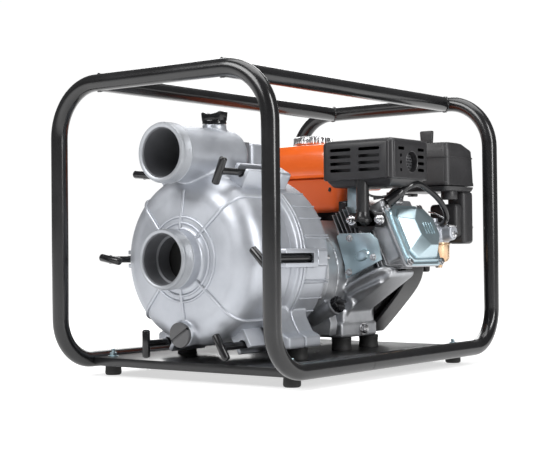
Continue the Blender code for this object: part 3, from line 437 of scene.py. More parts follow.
finish("orange shadow enamel", "tank_orange", [(0.58, 0.078, 0.004), (0.64, 0.092, 0.006)],
       (0.34, 0.44), (260, 0.06, 0.0003), coat=0.05, coat_rough=0.15)
finish("moulded plastic", "black_plastic", [(0.020, 0.020, 0.021), (0.030, 0.029, 0.031)],
       (0.36, 0.48), (1000, 0.28, 0.0004))
finish("gloss plastic", "black_plastic", [(0.007, 0.007, 0.008), (0.012, 0.012, 0.013)],
       (0.14, 0.24), (300, 0.06, 0.0003))
finish("rubber", "rubber", [(0.010, 0.010, 0.010), (0.020, 0.020, 0.020)],
       (0.55, 0.72), (600, 0.25, 0.0004))
finish("grey rubber", "gasket_rubber", [(0.10, 0.10, 0.11), (0.15, 0.15, 0.165)],
       (0.5, 0.65), (500, 0.3, 0.0004))
finish("filter foam", "filter_foam", [(0.03, 0.03, 0.032), (0.09, 0.09, 0.09)],
       (0.8, 0.95), (700, 0.9, 0.0015), blotch=700)
print(len(FINISHES), "finishes")

# %% Floor
floor_bm = bmesh.new()
bmesh.ops.create_grid(floor_bm, x_segments=1, y_segments=1, size=14)
floor_mesh = bpy.data.meshes.new("floor")
floor_bm.to_mesh(floor_mesh)
floor_bm.free()
floor = bpy.data.objects.new("floor", floor_mesh)
scene.collection.objects.link(floor)
paint = bpy.data.materials.new("floor")
paint.use_nodes = True
paper = paint.node_tree.nodes["Principled BSDF"]
paper.inputs["Base Color"].default_value = (0.55, 0.55, 0.55, 1)
paper.inputs["Roughness"].default_value = 0.5
paper.inputs["Emission Color"].default_value = (1, 1, 1, 1)
seen_from = paint.node_tree.nodes.new("ShaderNodeTexCoord")
away = paint.node_tree.nodes.new("ShaderNodeVectorMath")
away.operation = "LENGTH"
glow = paint.node_tree.nodes.new("ShaderNodeMapRange")
glow.inputs["From Min"].default_value, glow.inputs["From Max"].default_value = 0.45, 1.30
glow.inputs["To Min"].default_value, glow.inputs["To Max"].default_value = 0.62, 1.0
for source, target in ((seen_from.outputs["Object"], away.inputs[0]),
                       (away.outputs["Value"], glow.inputs["Value"]),
                       (glow.outputs["Result"], paper.inputs["Emission Strength"])):
    paint.node_tree.links.new(source, target)
floor_mesh.materials.append(paint)

# %% [markdown]
# ## The frame
# The frame is one-inch steel tube: two hoops, each bent from one length, butted on the bottom
# rail, with two straight rails welded between their tops. A bevelled curve would do, but a circle
# carried along the path gives an even mesh with no twist. The weld is a thin bead that follows
# the saddle where one tube meets the other, and it is rippled as a torch leaves it.

# %% Hoops, rails and welds
TUBE_R = 0.0127
hoop_low, hoop_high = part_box("frame_front_hoop")
rear_low, rear_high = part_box("frame_rear_hoop")
POST_X = hoop_high.x - TUBE_R
FRONT_Y, REAR_Y = hoop_low.y + TUBE_R, rear_high.y - TUBE_R
RAIL_Z, BAR_Z = hoop_low.z + TUBE_R, hoop_high.z - TUBE_R
SEAM_Y = (hoop_high.y + rear_low.y) / 2
FOOT_BEND, TOP_BEND = 0.065, 0.080


def hoop_path(end_y, seam_y):
    """The middle line of a hoop, from its butt on one bottom rail to the other."""
    corners = [(POST_X, seam_y, RAIL_Z), (POST_X, end_y, RAIL_Z), (POST_X, end_y, BAR_Z),
               (-POST_X, end_y, BAR_Z), (-POST_X, end_y, RAIL_Z), (-POST_X, seam_y, RAIL_Z)]
    low, top, far = (rounded_path(part, bend) for part, bend in (
        (corners[:3], FOOT_BEND), (corners[1:5], TOP_BEND), (corners[3:], FOOT_BEND)))
    return low[:-1] + top[1:-1] + far[1:]


keep("front_hoop", pipe(hoop_path(FRONT_Y, SEAM_Y - 0.0004), TUBE_R, 36), "pump_set",
     "tube enamel", ["frame_front_hoop"], crease=50)
keep("rear_hoop", pipe(hoop_path(REAR_Y, SEAM_Y + 0.0004), TUBE_R, 36), "pump_set",
     "tube enamel", ["frame_rear_hoop"], crease=50)
for side in ("left", "right"):
    low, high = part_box(f"top_rail_{side}")
    x = (low.x + high.x) / 2
    rail = pipe([(x, FRONT_Y + 0.004, BAR_Z), (x, 0, BAR_Z), (x, REAR_Y - 0.004, BAR_Z)], TUBE_R,
                36)
    keep(f"rail_{side}", rail, "pump_set", "tube enamel", [f"top_rail_{side}"], crease=50)
    beads = []
    for end, y in ((-1, FRONT_Y), (1, REAR_Y)):
        path = []
        for step in range(73):
            turn = math.tau * step / 72
            rise = TUBE_R * math.sin(turn)
            out = math.sqrt(max(TUBE_R**2 - rise**2, 0))
            ripple = 1 + 0.03 * math.sin(17 * turn)
            path.append((x + TUBE_R * math.cos(turn) * ripple, y - end * (out + 0.0004),
                         BAR_Z + rise * ripple))
        beads.append(pipe(path, 0.0017, 8))
    keep(f"rail_weld_{side}", gathered(beads), "pump_set", "tube enamel")

# %% [markdown]
# ## Base pan, feet and rubber mounts
# The pan is thin sheet with its edge turned down, welded between the bottom rails. The packed
# solid has that shape already, so its own faces are taken and their edges are rounded. Rubber
# parts are turned shapes with a waist and a small lip, which is how moulded mounts look.


# %% Pan, feet, mounts and their fasteners
def hex_bolt(seat, axis, across, height, washer=1.5):
    """A hexagon head on a washer. seat is the face it is tightened against."""
    seat, axis = Vector(seat), Vector(axis).normalized()
    disc = bar(seat, seat + axis * height * 0.22, across * washer / 2, sides=24,
               round_by=height * 0.06, steps=1)
    head = bar(seat + axis * height * 0.2, seat + axis * height, across / math.sqrt(3), sides=6,
               round_by=height * 0.10, steps=2)
    return gathered([disc, head])


refined("base_pan", 0.0008, "pan enamel")
nuts = []
for end in ("front", "rear"):
    for side in ("left", "right"):
        low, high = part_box(f"foot_{end}_{side}")
        x, y = (low.x + high.x) / 2, (low.y + high.y) / 2
        foot = lathe([(0, low.z), (0.0105, low.z), (0.0124, low.z + 0.0014),
                      (0.0129, low.z + 0.004), (0.0122, low.z + 0.016), (0.0128, low.z + 0.021),
                      (0.0128, high.z), (0, high.z)], (x, y, 0), (0, 0, 1), 40)
        keep(f"foot_{end}_{side}_rubber", foot, "pump_set", "rubber", [f"foot_{end}_{side}"])
        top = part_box("base_pan")[1].z
        nuts.append(hex_bolt((x, y, top), (0, 0, 1), 0.011, 0.0065))
        nuts.append(bar((x, y, top + 0.004), (x, y, top + 0.012), 0.003, sides=16,
                        round_by=0.0006))
keep("foot_nuts", gathered(nuts), "pump_set", "zinc plate")
for node in [f"engine_mount_{e}_{s}" for e in ("front", "rear") for s in ("left", "right")] + [
        "pump_mount_left", "pump_mount_right"]:
    low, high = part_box(node)
    r, tall = (high.x - low.x) / 2, high.z - low.z
    mount = lathe([(0, low.z), (r, low.z), (r, low.z + 0.16 * tall),
                   (r * 0.97, low.z + 0.24 * tall),
                   (r * 0.95, low.z + 0.5 * tall), (r * 0.97, low.z + 0.76 * tall),
                   (r, low.z + 0.84 * tall), (r, high.z - 0.0006), (r - 0.0006, high.z),
                   (0, high.z)], ((low.x + high.x) / 2, (low.y + high.y) / 2, 0), (0, 0, 1), 48)
    keep(f"{node}_rubber", mount, "pump_set", "rubber", [node])

# %% [markdown]
# ## The pump's front cover
# This is one sand casting: a dome with the suction port in its middle, the discharge pipe
# across its top, six forked lugs for the knobs and two feet. Castings have soft inside corners
# wherever two shapes meet. Booleans leave those corners hard, and a bevel fails on such a mesh,
# so the overlapping shapes are made solid by a voxel remesh and then relaxed a little. The
# thin ribs and the turned port rims are finer than a voxel, so they are laid on afterwards.

# %% Measures of the pump
seal_low, seal_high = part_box("cover_seal")
cover_low, cover_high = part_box("front_cover")
CASE_Z = (seal_low.z + seal_high.z) / 2
CRANK_Z = sum(v.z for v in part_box("flywheel")) / 2
PARTING_Y, PORT_Y = cover_high.y, cover_low.y
CASE_R, RIM_R, DOME_ROUND, DOME_Y = 0.128, 0.130, 0.035, -0.256
DISCHARGE_Z, PIPE_R, PIPE_BORE, BORE_R, THREAD_R = 0.336, 0.0415, 0.0365, 0.038, 0.04445
NECK_Y, PRIMING_Y, BAND = -0.197, -0.183, 0.0215
KNOB_CIRCLE, LUG_Y = 0.1465, -0.212
print("pump axis at", round(CASE_Z, 4), "m, parting at", round(PARTING_Y, 4), "m")


def case_point(radius, degrees, y):
    """A point on a circle about the pump's axis."""
    turn = math.radians(degrees)
    return Vector((radius * math.cos(turn), y, CASE_Z + radius * math.sin(turn)))


def shoulder(steps=18):
    """The dome's rounded shoulder as (radius, y), from its side to its face."""
    return [(CASE_R - DOME_ROUND * (1 - math.cos(a)), DOME_Y + DOME_ROUND * (1 - math.sin(a)))
            for a in (math.radians(90) * step / steps for step in range(steps + 1))]


# %% The cast body
discharge_bore = ((0, PORT_Y - 0.01, DISCHARGE_Z), (0, -0.161, DISCHARGE_Z), PIPE_BORE)
passage = ((0, NECK_Y, 0.250), (0, NECK_Y, DISCHARGE_Z), 0.029)
dome = lathe(
    [(RIM_R, PARTING_Y), (RIM_R, PARTING_Y - 0.006), (0.124, PARTING_Y - 0.008),
     (0.124, PARTING_Y - 0.026), (CASE_R, PARTING_Y - 0.030)] + shoulder()
    + [(0.0555, DOME_Y - 0.006), (0.0430, DOME_Y - 0.0075), (0.0430, PORT_Y + BAND - 0.001),
       (BORE_R, PORT_Y + BAND - 0.001), (BORE_R, -0.250), (0.088, -0.250), (0.108, -0.240),
       (0.118, -0.221), (0.118, PARTING_Y), (RIM_R, PARTING_Y)],
    (0, 0, CASE_Z), (0, 1, 0), 144)
bend = [(PIPE_R - 0.010 * (1 - math.sin(a)), -0.148 - 0.010 * (1 - math.cos(a)))
        for a in (math.radians(90) * step / 8 for step in range(9))]
pipe_body = lathe([(0, -0.148)] + bend + [(PIPE_R, PORT_Y + BAND - 0.001),
                  (PIPE_BORE, PORT_Y + BAND - 0.001), (PIPE_BORE, -0.161), (0, -0.161)],
                  (0, 0, DISCHARGE_Z), (0, 1, 0), 96)
neck = lathe([(0, 0.262), (0.050, 0.266), (0.0585, 0.281), (0.0535, 0.293), (0.047, 0.306),
              (0.0430, 0.319), (0.0412, DISCHARGE_Z), (0, DISCHARGE_Z)],
             (0, NECK_Y, 0), (0, 0, 1), 96)
boss = lathe([(0, 0.352), (0.026, 0.3665), (0.0205, 0.3725), (0.0184, 0.3765), (0.0180, 0.380),
              (0.0186, 0.3812), (0.0186, 0.3838), (0, 0.3838)], (0, PRIMING_Y, 0), (0, 0, 1), 64)
drain_boss = bar((0, -0.2615, 0.0701), (0, -0.215, 0.074), 0.0185, sides=48)
body = [cut(dome, bar(*discharge_bore, sides=64), bar(*passage, sides=48)),
        cut(pipe_body, bar(*passage, sides=48)),
        cut(neck, bar(*discharge_bore, sides=64), bar(*passage, sides=48)),
        cut(boss, bar(*discharge_bore, sides=64),
            bar((0, PRIMING_Y, 0.35), (0, PRIMING_Y, 0.39), 0.0125)),
        cut(drain_boss, bar((0, -0.270, 0.0695), (0, -0.200, 0.0752), 0.0115))]
FOOT_OUTLINE = [(0.080, 0.047), (0.130, 0.047), (0.130, 0.064), (0.116, 0.070), (0.105, 0.090),
                (0.100, 0.112), (0.080, 0.112)]
for side in (-1, 1):
    body.append(slab([(side * x, z) for x, z in FOOT_OUTLINE], PARTING_Y + 0.172,
                     (0, -0.172, 0), (0, 1, 0), round_by=0.002))
cast = fused(body, 0.0019, 3)

# %% Lugs, ribs and rings
details = [cast]
for turn in range(0, 360, 60):
    out = Vector((math.cos(math.radians(turn)), 0, math.sin(math.radians(turn))))
    across = out.cross(Vector((0, 1, 0)))
    lug = framed_block(case_point(0.136, turn, (LUG_Y + PARTING_Y) / 2), out, across,
                       (0.040, PARTING_Y - LUG_Y, 0.028), 0.0022, 2)
    groove = bar(case_point(KNOB_CIRCLE, turn, LUG_Y - 0.01),
                 case_point(KNOB_CIRCLE, turn, PARTING_Y + 0.01), 0.0075, sides=24)
    mouth = framed_block(case_point(KNOB_CIRCLE + 0.010, turn,
                                    (LUG_Y - 0.011 + PARTING_Y - 0.012) / 2),
                         out, across, (0.020, PARTING_Y - 0.012 - LUG_Y + 0.011, 0.0147))
    details.append(cut(lug, groove, mouth))
    for level in (-0.0118, 0.0118):
        start = case_point(0.1545, turn, LUG_Y + 0.004) + across * level
        details.append(pipe([start, start + Vector((0, 0.070, 0))], 0.0014, 10))
for turn in (90, 45, -45, -90, 135, -135):
    path = [(0.0435, DOME_Y - 0.0076), (0.0555, DOME_Y - 0.0060)] + shoulder()[::-1] + [
        (CASE_R, PARTING_Y - 0.032)]
    if turn == -90:
        path = path[:3]
    if turn == 90:
        path = path[:6]
    details.append(pipe([case_point(r, turn, y) for r, y in path], 0.0028, 12))
for r in (0.0535, 0.0625):
    y = DOME_Y - 0.0058 + (r - 0.0555) * 0.16
    details.append(pipe([case_point(r, 4 * step, y) for step in range(91)], 0.0024, 10))
keep("cover_casting", gathered(details), "pump_set", "blasted casting", ["front_cover"])


# %% Threaded rims
def port_rim(z, thread_r, bore_r):
    """The turned end of a hose port: a face, a chamfer and the hose thread."""
    crest = [(thread_r - 0.0006, PORT_Y + 0.0022)]
    for step in range(6):
        y = PORT_Y + 0.0040 + 0.0029 * step
        crest += [(thread_r, y), (thread_r - 0.0007, y + 0.00145)]
    line = [(bore_r, PORT_Y + 0.001), (bore_r + 0.001, PORT_Y), (thread_r - 0.0016, PORT_Y)]
    line += crest + [(thread_r, PORT_Y + BAND - 0.001), (thread_r - 0.0008, PORT_Y + BAND),
                     (bore_r, PORT_Y + BAND), (bore_r, PORT_Y + 0.001)]
    return lathe(line, (0, 0, z), (0, 1, 0), 96)


keep("port_rims", gathered([port_rim(CASE_Z, THREAD_R, BORE_R),
                            port_rim(DISCHARGE_Z, THREAD_R, PIPE_BORE)]),
     "pump_set", "machined rim", crease=50)
# Both ports are lined with a thin dark skin, and a dark disc closes the discharge pipe's far end:
# painted shade for the depths of the bores, which the lamps would otherwise light.
suction_bore_shade = lathe([(BORE_R - 0.0001, PORT_Y + 0.0016), (BORE_R - 0.0001, -0.2505),
                      (BORE_R - 0.0045, -0.2505), (BORE_R - 0.0045, PORT_Y + 0.030),
                      (BORE_R - 0.0012, PORT_Y + 0.029), (BORE_R - 0.0012, PORT_Y + 0.003),
                      (BORE_R - 0.0001, PORT_Y + 0.0016)], (0, 0, CASE_Z), (0, 1, 0), 96)
pipe_bore_shade = lathe([(PIPE_BORE - 0.0001, PORT_Y + 0.0016), (PIPE_BORE - 0.0001, -0.1612),
                   (0, -0.1612), (0, -0.1625), (PIPE_BORE - 0.0055, -0.1625),
                   (PIPE_BORE - 0.0012, -0.167), (PIPE_BORE - 0.0012, PORT_Y + 0.003),
                   (PIPE_BORE - 0.0001, PORT_Y + 0.0016)], (0, 0, DISCHARGE_Z), (0, 1, 0), 96)
keep("port_bores_painted_shade", gathered([suction_bore_shade, cut(pipe_bore_shade, bar(*passage, sides=48))]),
     "pump_set", "bore painted shade")

# %% [markdown]
# ## Rear casing, gasket block and the pump's controls
# The rear half is a drum that narrows to the engine. Its side is crossed by fine ledges, left by
# the mould. The knobs are T handles: a round bar across a round shaft, with domed ends, in a
# glossy plastic. Their stems turn in the lugs, so each is kept as its own moving piece.

# %% Rear casing
BACK_Y = -0.059
drum = lathe([(0.118, PARTING_Y + 0.0004), (RIM_R, PARTING_Y + 0.0004),
              (RIM_R, PARTING_Y + 0.006),
              (CASE_R, PARTING_Y + 0.008), (CASE_R, BACK_Y - 0.014),
              (CASE_R - 0.003, BACK_Y - 0.005),
              (CASE_R - 0.010, BACK_Y), (0.060, BACK_Y), (0.060, -0.073), (0.118, -0.073),
              (0.118, PARTING_Y + 0.0004)], (0, 0, CASE_Z), (0, 1, 0), 144)
adapter = lathe([(0.0225, -0.067), (0.095, -0.067), (0.0935, -0.052), (0.079, -0.0208),
                 (0.058, -0.0208), (0.058, -0.056), (0.0225, -0.056), (0.0225, -0.067)],
                (0, 0, CRANK_Z), (0, 1, 0), 96)
casing = [drum, adapter]
for side in (-1, 1):
    casing.append(slab([(side * x, z) for x, z in FOOT_OUTLINE], -0.092 - PARTING_Y - 0.0006,
                       (0, PARTING_Y + 0.0006, 0), (0, 1, 0), round_by=0.002))
for turn in range(0, 360, 60):
    out = Vector((math.cos(math.radians(turn)), 0, math.sin(math.radians(turn))))
    across = out.cross(Vector((0, 1, 0)))
    lug = framed_block(case_point(0.136, turn, PARTING_Y + 0.0142), out, across,
                       (0.036, 0.0276, 0.026), 0.0015, 1)
    casing.append(cut(lug, bar(case_point(KNOB_CIRCLE, turn, PARTING_Y - 0.03),
                               case_point(KNOB_CIRCLE, turn, -0.09), 0.0060, sides=24)))
casing.append(block((-0.030, PARTING_Y + 0.0006, 0.284), (0.030, -0.075, 0.3585), 0.006, 3))
cast = fused(casing, 0.0019, 3)
ledges = [cast]
for level, length in ((0.098, 0.056), (0.078, 0.058), (0.060, 0.060), (0.034, 0.064),
                      (0.030, 0.064),
                      (-0.034, 0.064), (-0.038, 0.064), (-0.062, 0.060), (-0.082, 0.058)):
    x = math.sqrt(CASE_R**2 - level**2)
    for side in (-1, 1):
        start = Vector((side * x, PARTING_Y + 0.009, CASE_Z + level))
        ledges.append(pipe([start, start + Vector((0, length - 0.004, 0)),
                            start + Vector((-side * 0.006, length + 0.004, 0))], 0.0014, 10))
keep("rear_casing_casting", gathered(ledges), "pump_set", "blasted casting", ["rear_casing"])
low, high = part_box("discharge_gasket")
pad = block(low, high, 0.003, 3)
beads = [block((low.x - 0.0006, low.y + step, low.z + 0.002),
               (high.x + 0.0006, low.y + step + 0.0016, high.z + 0.0006),
               0.0006, 1) for step in (0.0030, 0.0068, 0.0106)]
keep("discharge_pad", gathered([pad] + beads), "pump_set", "grey rubber", ["discharge_gasket"])


# %% Clamp knobs
def domed_bar(start, end, radius, sides=28):
    """A round bar with domed ends."""
    start, end = Vector(start), Vector(end)
    dome = [(radius * math.cos(a), radius * 0.55 * math.sin(a))
            for a in (math.radians(90) * step / 5 for step in range(6))]
    length = (end - start).length
    profile = [(r, radius * 0.55 - t) for r, t in dome[::-1]] + [
        (r, length - radius * 0.55 + t) for r, t in dome]
    return lathe(profile, start, end - start, sides)


for index in range(6):
    node = f"clamp_knob_{index + 1}"
    low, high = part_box(node)
    centre = case_point(KNOB_CIRCLE, 60 * index, -0.260)
    lean = math.radians((-45, 66, -5, -9, 90, -59)[index])
    half = Vector((math.cos(lean), 0, math.sin(lean))) * 0.0215
    shaft = bar(centre, (centre.x, -0.143, centre.z), 0.0054, sides=28)
    hub = bar(centre, (centre.x, -0.247, centre.z), 0.0068, 0.0056, sides=28)
    stud = bar((centre.x, -0.150, centre.z), (centre.x, high.y, centre.z), 0.004, sides=20)
    keep(f"{node}_handle", gathered([domed_bar(centre - half, centre + half, 0.0060), shaft,
                                     hub]),
         f"knob_{index + 1}", "gloss plastic", [node])
    keep(f"{node}_stud", stud, f"knob_{index + 1}", "steel")

# %% Priming cap and drain plug
wing = slab([(-0.0178, 0), (0.0178, 0), (0.0196, 0.0135), (0.0165, 0.0145), (0.0100, 0.0122),
             (0.0000, 0.0112), (-0.0100, 0.0122), (-0.0165, 0.0145), (-0.0196, 0.0135)], 0.018,
            (0, PRIMING_Y + 0.009, 0.3895), (0, -1, 0), round_by=0.0014)
skirt = lathe([(0, 0.3725), (0.0118, 0.3725), (0.0118, 0.3846), (0.0176, 0.3846),
               (0.0184, 0.3856),
               (0.0184, 0.3896), (0.0176, 0.3908), (0, 0.3908)], (0, PRIMING_Y, 0), (0, 0, 1), 48)
keep("priming_cap_moulding", gathered([wing, skirt]), "priming_cap_body", "gloss plastic",
     ["priming_cap"])
refined("drain_plug", 0.0007, "plug plastic", "drain_plug_body")

# %% [markdown]
# ## The engine's crankcase and cylinder
# The crankcase is a pressure die casting: flat faces, small even corners and shallow ribs. Its
# overlapping shapes are fused like the pump's, with a finer voxel. The cooling fins are thin
# plates with bright worn edges, so each is a dark plate with a thinner bright one standing a
# little proud of it. A texture could draw the edges, but not the shadow gaps between the fins.

# %% Measures of the engine
ALONG = Vector((math.cos(math.radians(25)), 0, math.sin(math.radians(25))))
ACROSS = Vector((-math.sin(math.radians(25)), 0, math.cos(math.radians(25))))


def on_cylinder(u, v, y=0.095):
    """A point u along the cylinder's axis from the crankshaft, v above it."""
    return Vector((0, y, CRANK_Z)) + ALONG * u + ACROSS * v


def stacked(levels, corner_steps=6):
    """A closed body of rounded rectangles, one over the next.
    Each level is (z, low x, high x, low y, high y, corner radius)."""
    bm = bmesh.new()
    rings = []
    for z, x0, x1, y0, y1, r in levels:
        corners = ((x1 - r, y1 - r), (x0 + r, y1 - r), (x0 + r, y0 + r), (x1 - r, y0 + r))
        rings.append([bm.verts.new(
            (x + r * math.cos(math.radians(90 * (side + step / corner_steps))),
             y + r * math.sin(math.radians(90 * (side + step / corner_steps))), z))
            for side, (x, y) in enumerate(corners) for step in range(corner_steps + 1)])
    for lower, upper in zip(rings, rings[1:]):
        for i in range(len(lower)):
            j = (i + 1) % len(lower)
            bm.faces.new((lower[i], lower[j], upper[j], upper[i]))
    bm.faces.new(rings[0])
    bm.faces.new(rings[-1])
    bmesh.ops.recalc_face_normals(bm, faces=bm.faces)
    return bm


def inset_levels(low, high, corner, steps):
    """Levels for stacked: steps lists (z, how far in from the box's sides)."""
    return [(z, low[0] + d, high[0] - d, low[1] + d, high[1] - d, max(corner - d, 0.0015))
            for z, d in steps]


def upright_on_cylinder(bm, u, y=0.095):
    """Turns a body whose Z is its height so that it stands on the cylinder's end at u."""
    place = Matrix.Identity(4)
    for column, way in enumerate((ACROSS, Vector((0, 1, 0)), ALONG)):
        place.col[column][:3] = way
    place.translation = on_cylinder(u, 0, y)
    bm.transform(place)
    bmesh.ops.recalc_face_normals(bm, faces=bm.faces)
    return bm


# %% Crankcase, cylinder and fins
case = [bar((0, 0.020, CRANK_Z), (0, 0.165, CRANK_Z), 0.085, sides=72),
        block((-0.113, 0.029, 0.050), (0.085, 0.132, 0.0738), 0.003),
        block((-0.085, 0.0205, 0.060), (0.060, 0.1645, 0.150), 0.004),
        slab([(0.030, 0.070), (0.0845, 0.074), (0.0845, 0.093), (0.165, 0.148), (0.169, 0.158),
              (0.139, 0.1535), (0.120, 0.195), (0.030, 0.195)][::-1], 0.072, (0, 0.120, 0),
             (0, -1, 0), round_by=0.003),
        bar(on_cylinder(0.050, 0), on_cylinder(0.1277, 0), 0.046, sides=64),
        pipe(curved_path([(0.080, 0.047, 0.127), (0.112, 0.047, 0.145), (0.150, 0.048, 0.160),
                          (0.166, 0.062, 0.157)]), 0.0058, 16),
        pipe(curved_path([(0.083, 0.047, 0.108), (0.100, 0.047, 0.121), (0.125, 0.047, 0.131),
                          (0.150, 0.047, 0.141)]), 0.0035, 12),
        pipe(curved_path([(0.086, 0.046, 0.118), (0.0945, 0.046, 0.103), (0.082, 0.046, 0.088),
                          (0.080, 0.046, 0.074)]), 0.0036, 12),
        slab([(0.060, 0.074), (0.0835, 0.074), (0.0835, 0.096), (0.060, 0.112)][::-1], 0.010,
             (0, 0.046, 0), (0, -1, 0), round_by=0.002)]
keep("crankcase", fused(case, 0.0021, 2), "pump_set", "die casting", ["cylinder_block"])


def fin_stack(first, pitch, count, centre_v, size):
    """Plates across the cylinder, as (dark bodies, bright edges)."""
    plates, edges = [], []
    for index in range(count):
        centre = on_cylinder(first + pitch * index, centre_v)
        plates.append(framed_block(centre, ALONG, ACROSS, (0.0025, *size), 0.0007, 1))
        edges.append(framed_block(centre, ALONG, ACROSS,
                                  (0.0011, size[0] + 0.0008, size[1] + 0.0008), 0.0003, 1))
    return plates, edges


plates, edges = fin_stack(0.090, 0.0075, 5, 0.006, (0.098, 0.106))
more_plates, more_edges = fin_stack(0.135, 0.0075, 3, -0.006, (0.098, 0.106))
keep("cooling_fins", gathered(plates + more_plates), "pump_set", "dark fins")
keep("fin_edges", gathered(edges + more_edges), "pump_set", "die casting")
port = on_cylinder(0.149, 0.0215, 0.0446)
intake = on_cylinder(0.149, 0.004, 0.1497)
plug_root = on_cylinder(0.146, 0.035, 0.128)
plug_way = Vector((0.10, 0.55, 0.83)).normalized()
head = [framed_block(on_cylinder(0.1560, -0.008), ALONG, ACROSS, (0.0555, 0.090, 0.100), 0.003),
        bar((port.x, 0.070, port.z), port, 0.0155),
        bar((intake.x, 0.130, intake.z), intake, 0.0155),
        framed_block(on_cylinder(0.180, -0.0235, 0.0988), ALONG, ACROSS,
                     (0.0080, 0.104, 0.106), 0.003)]
head = cut(fused(head, 0.002, 2), bar(plug_root, plug_root + plug_way * 0.05, 0.0062))
keep("head_casting", head, "pump_set", "die casting", ["cylinder_head"])
refined("spark_plug", 0.0005, "steel")
boot = plug_root + plug_way * 0.035
lead = curved_path([boot, boot + plug_way * 0.024, (0.122, 0.178, 0.310), (0.100, 0.190, 0.303),
                    (0.074, 0.194, 0.286), (0.060, 0.190, 0.2600)])
keep("plug_lead_rubber", gathered([
    bar(boot, boot + plug_way * 0.020, 0.0085, 0.0068, sides=32, round_by=0.001),
    pipe(lead, 0.0038, 16)]), "pump_set", "rubber", ["plug_lead"])

# %% Valve cover
# A pressed cover: a flange with a step, and a crown with flat facets and soft edges.
flange = stacked([
    (0.0000, -0.0765, 0.0295, -0.053, 0.053, 0.012),
    (0.0020, -0.0765, 0.0295, -0.053, 0.053, 0.012),
    (0.0032, -0.0755, 0.0285, -0.052, 0.052, 0.011),
    (0.0036, -0.0712, 0.0242, -0.0477, 0.0477, 0.013),
    (0.0062, -0.0706, 0.0236, -0.0471, 0.0471, 0.013),
    (0.0074, -0.0694, 0.0224, -0.0459, 0.0459, 0.012),
    (0.0076, -0.0660, 0.0190, -0.0425, 0.0425, 0.012)])
crown = stacked([(0.0070, -0.0672, 0.0202, -0.0435, 0.0435, 0.014),
                 (0.0105, -0.0668, 0.0198, -0.0432, 0.0432, 0.015),
                 (0.0262, -0.0520, 0.0120, -0.0180, 0.0385, 0.0185)], 1)
round_edges(crown, sharp_edges(crown, 12), 0.0024, 3)
cover = upright_on_cylinder(gathered([flange, crown]), 0.1845, 0.0988)
fixings = [hex_bolt(on_cylinder(0.1868, v, y), ALONG, 0.0085, 0.0062)
           for v, y in ((-0.0712, 0.0510), (-0.0712, 0.1466), (0.0242, 0.0510), (0.0242, 0.1466))]
ribs = [framed_block(on_cylinder(0.2109, -0.022, y), ALONG, ACROSS, (0.0016, 0.0030, 0.020),
                     0.0007, 2)
        for y in (0.0990, 0.1070, 0.1150, 0.1230)]
keep("valve_cover_pressing", gathered([cover] + ribs), "pump_set", "zinc plate", ["valve_cover"])
keep("valve_cover_bolts", gathered(fixings), "pump_set", "steel")

# %% [markdown]
# ## Crankcase cover, oil filler and cylinder shroud
# The cover that faces the pump is turned, with a ring of bolts. The shroud plate is sheet that
# keeps the cooling air against the cylinder; it has an oval boss pressed into it, made from a
# spun dome that is stretched one way. A grid deformed by hand would give no cleaner an edge.

# %% Cover, filler, drain and shroud
cover = lathe([(0.0150, -0.0195), (0.060, -0.0195), (0.066, -0.014), (0.078, -0.010),
               (0.0842, -0.004), (0.0848, 0.0195), (0.0150, 0.0195), (0.0150, -0.0195)],
              (0, 0, CRANK_Z), (0, 1, 0), 96)
sump = slab([(-0.085, 0.055), (0.080, 0.055), (0.084, 0.075), (0.070, 0.120), (-0.080, 0.120)],
            0.0194, (0, 0.0194, 0), (0, -1, 0), round_by=0.002)
bolts = [hex_bolt((0.0775 * math.cos(math.radians(a)), -0.0105,
                   CRANK_Z + 0.0775 * math.sin(math.radians(a))), (0, -1, 0), 0.009, 0.006)
         for a in range(15, 375, 45)]
way = Vector((0.0456, 0, 0.0232)).normalized()
seat = Vector((0.0906, 0.003, 0.1032))
keep("crankcase_cover_casting", gathered([
    cover, sump, cut(bar((0.045, 0.003, 0.080), seat, 0.0128, round_by=0.001),
                     bar(seat - way * 0.022, seat + way * 0.01, 0.0082)),
    bar(seat - way * 0.0045, seat - way * 0.0002, 0.0140, round_by=0.0006)]),
    "pump_set", "die casting", ["crankcase_cover"])
keep("case_bolts", gathered(bolts), "pump_set", "steel")
flutes = [bar(seat + way * 0.0012 + Matrix.Rotation(math.tau * i / 14, 3,
                                                    way) @ Vector((0, 0.0118, 0)),
              seat + way * 0.0098 + Matrix.Rotation(math.tau * i / 14, 3,
                                                    way) @ Vector((0, 0.0118, 0)),
              0.0016, sides=10) for i in range(14)]
keep("oil_cap_moulding", gathered([
    bar(seat + way * 0.0003, seat + way * 0.0105, 0.0122, 0.0116, round_by=0.0012),
    framed_block(seat + way * 0.0132, way, Vector((0, 1, 0)), (0.0075, 0.0055, 0.0190), 0.0012),
    bar(seat - way * 0.018, seat + way * 0.001, 0.0074)] + flutes),
    "oil_filler_cap_body", "gloss plastic", ["oil_filler_cap"])
keep("sump_drain_bolt", hex_bolt((0.0851, 0.090, 0.062), (1, 0, 0), 0.0135, 0.0070), "pump_set",
     "steel", ["oil_drain_bolt"])
plate = slab([(0.0893, 0.145), (0.158, 0.176), (0.150, 0.2085), (0.137, 0.2185), (0.077, 0.2185),
              (0.072, 0.2135), (0.0868, 0.169)], 0.0030, (0, 0.0385, 0), (0, -1, 0),
             round_by=0.0007)
dome = lathe([(0, 0.0040), (0.0060, 0.0040), (0.0086, 0.0032), (0.0098, 0.0014), (0.0104, 0),
              (0.0104, -0.0012), (0, -0.0012)], (0, 0, 0), (0, -1, 0), 64)
bmesh.ops.scale(dome, vec=(1.30, 1, 0.86), verts=dome.verts)
bmesh.ops.rotate(dome, matrix=Matrix.Rotation(math.radians(-25), 3, "Y"), verts=dome.verts)
bmesh.ops.translate(dome, vec=(0.122, 0.0355, 0.183), verts=dome.verts)
keep("shroud_sheet", gathered([plate, dome]), "pump_set", "zinc plate", ["cylinder_shroud"])
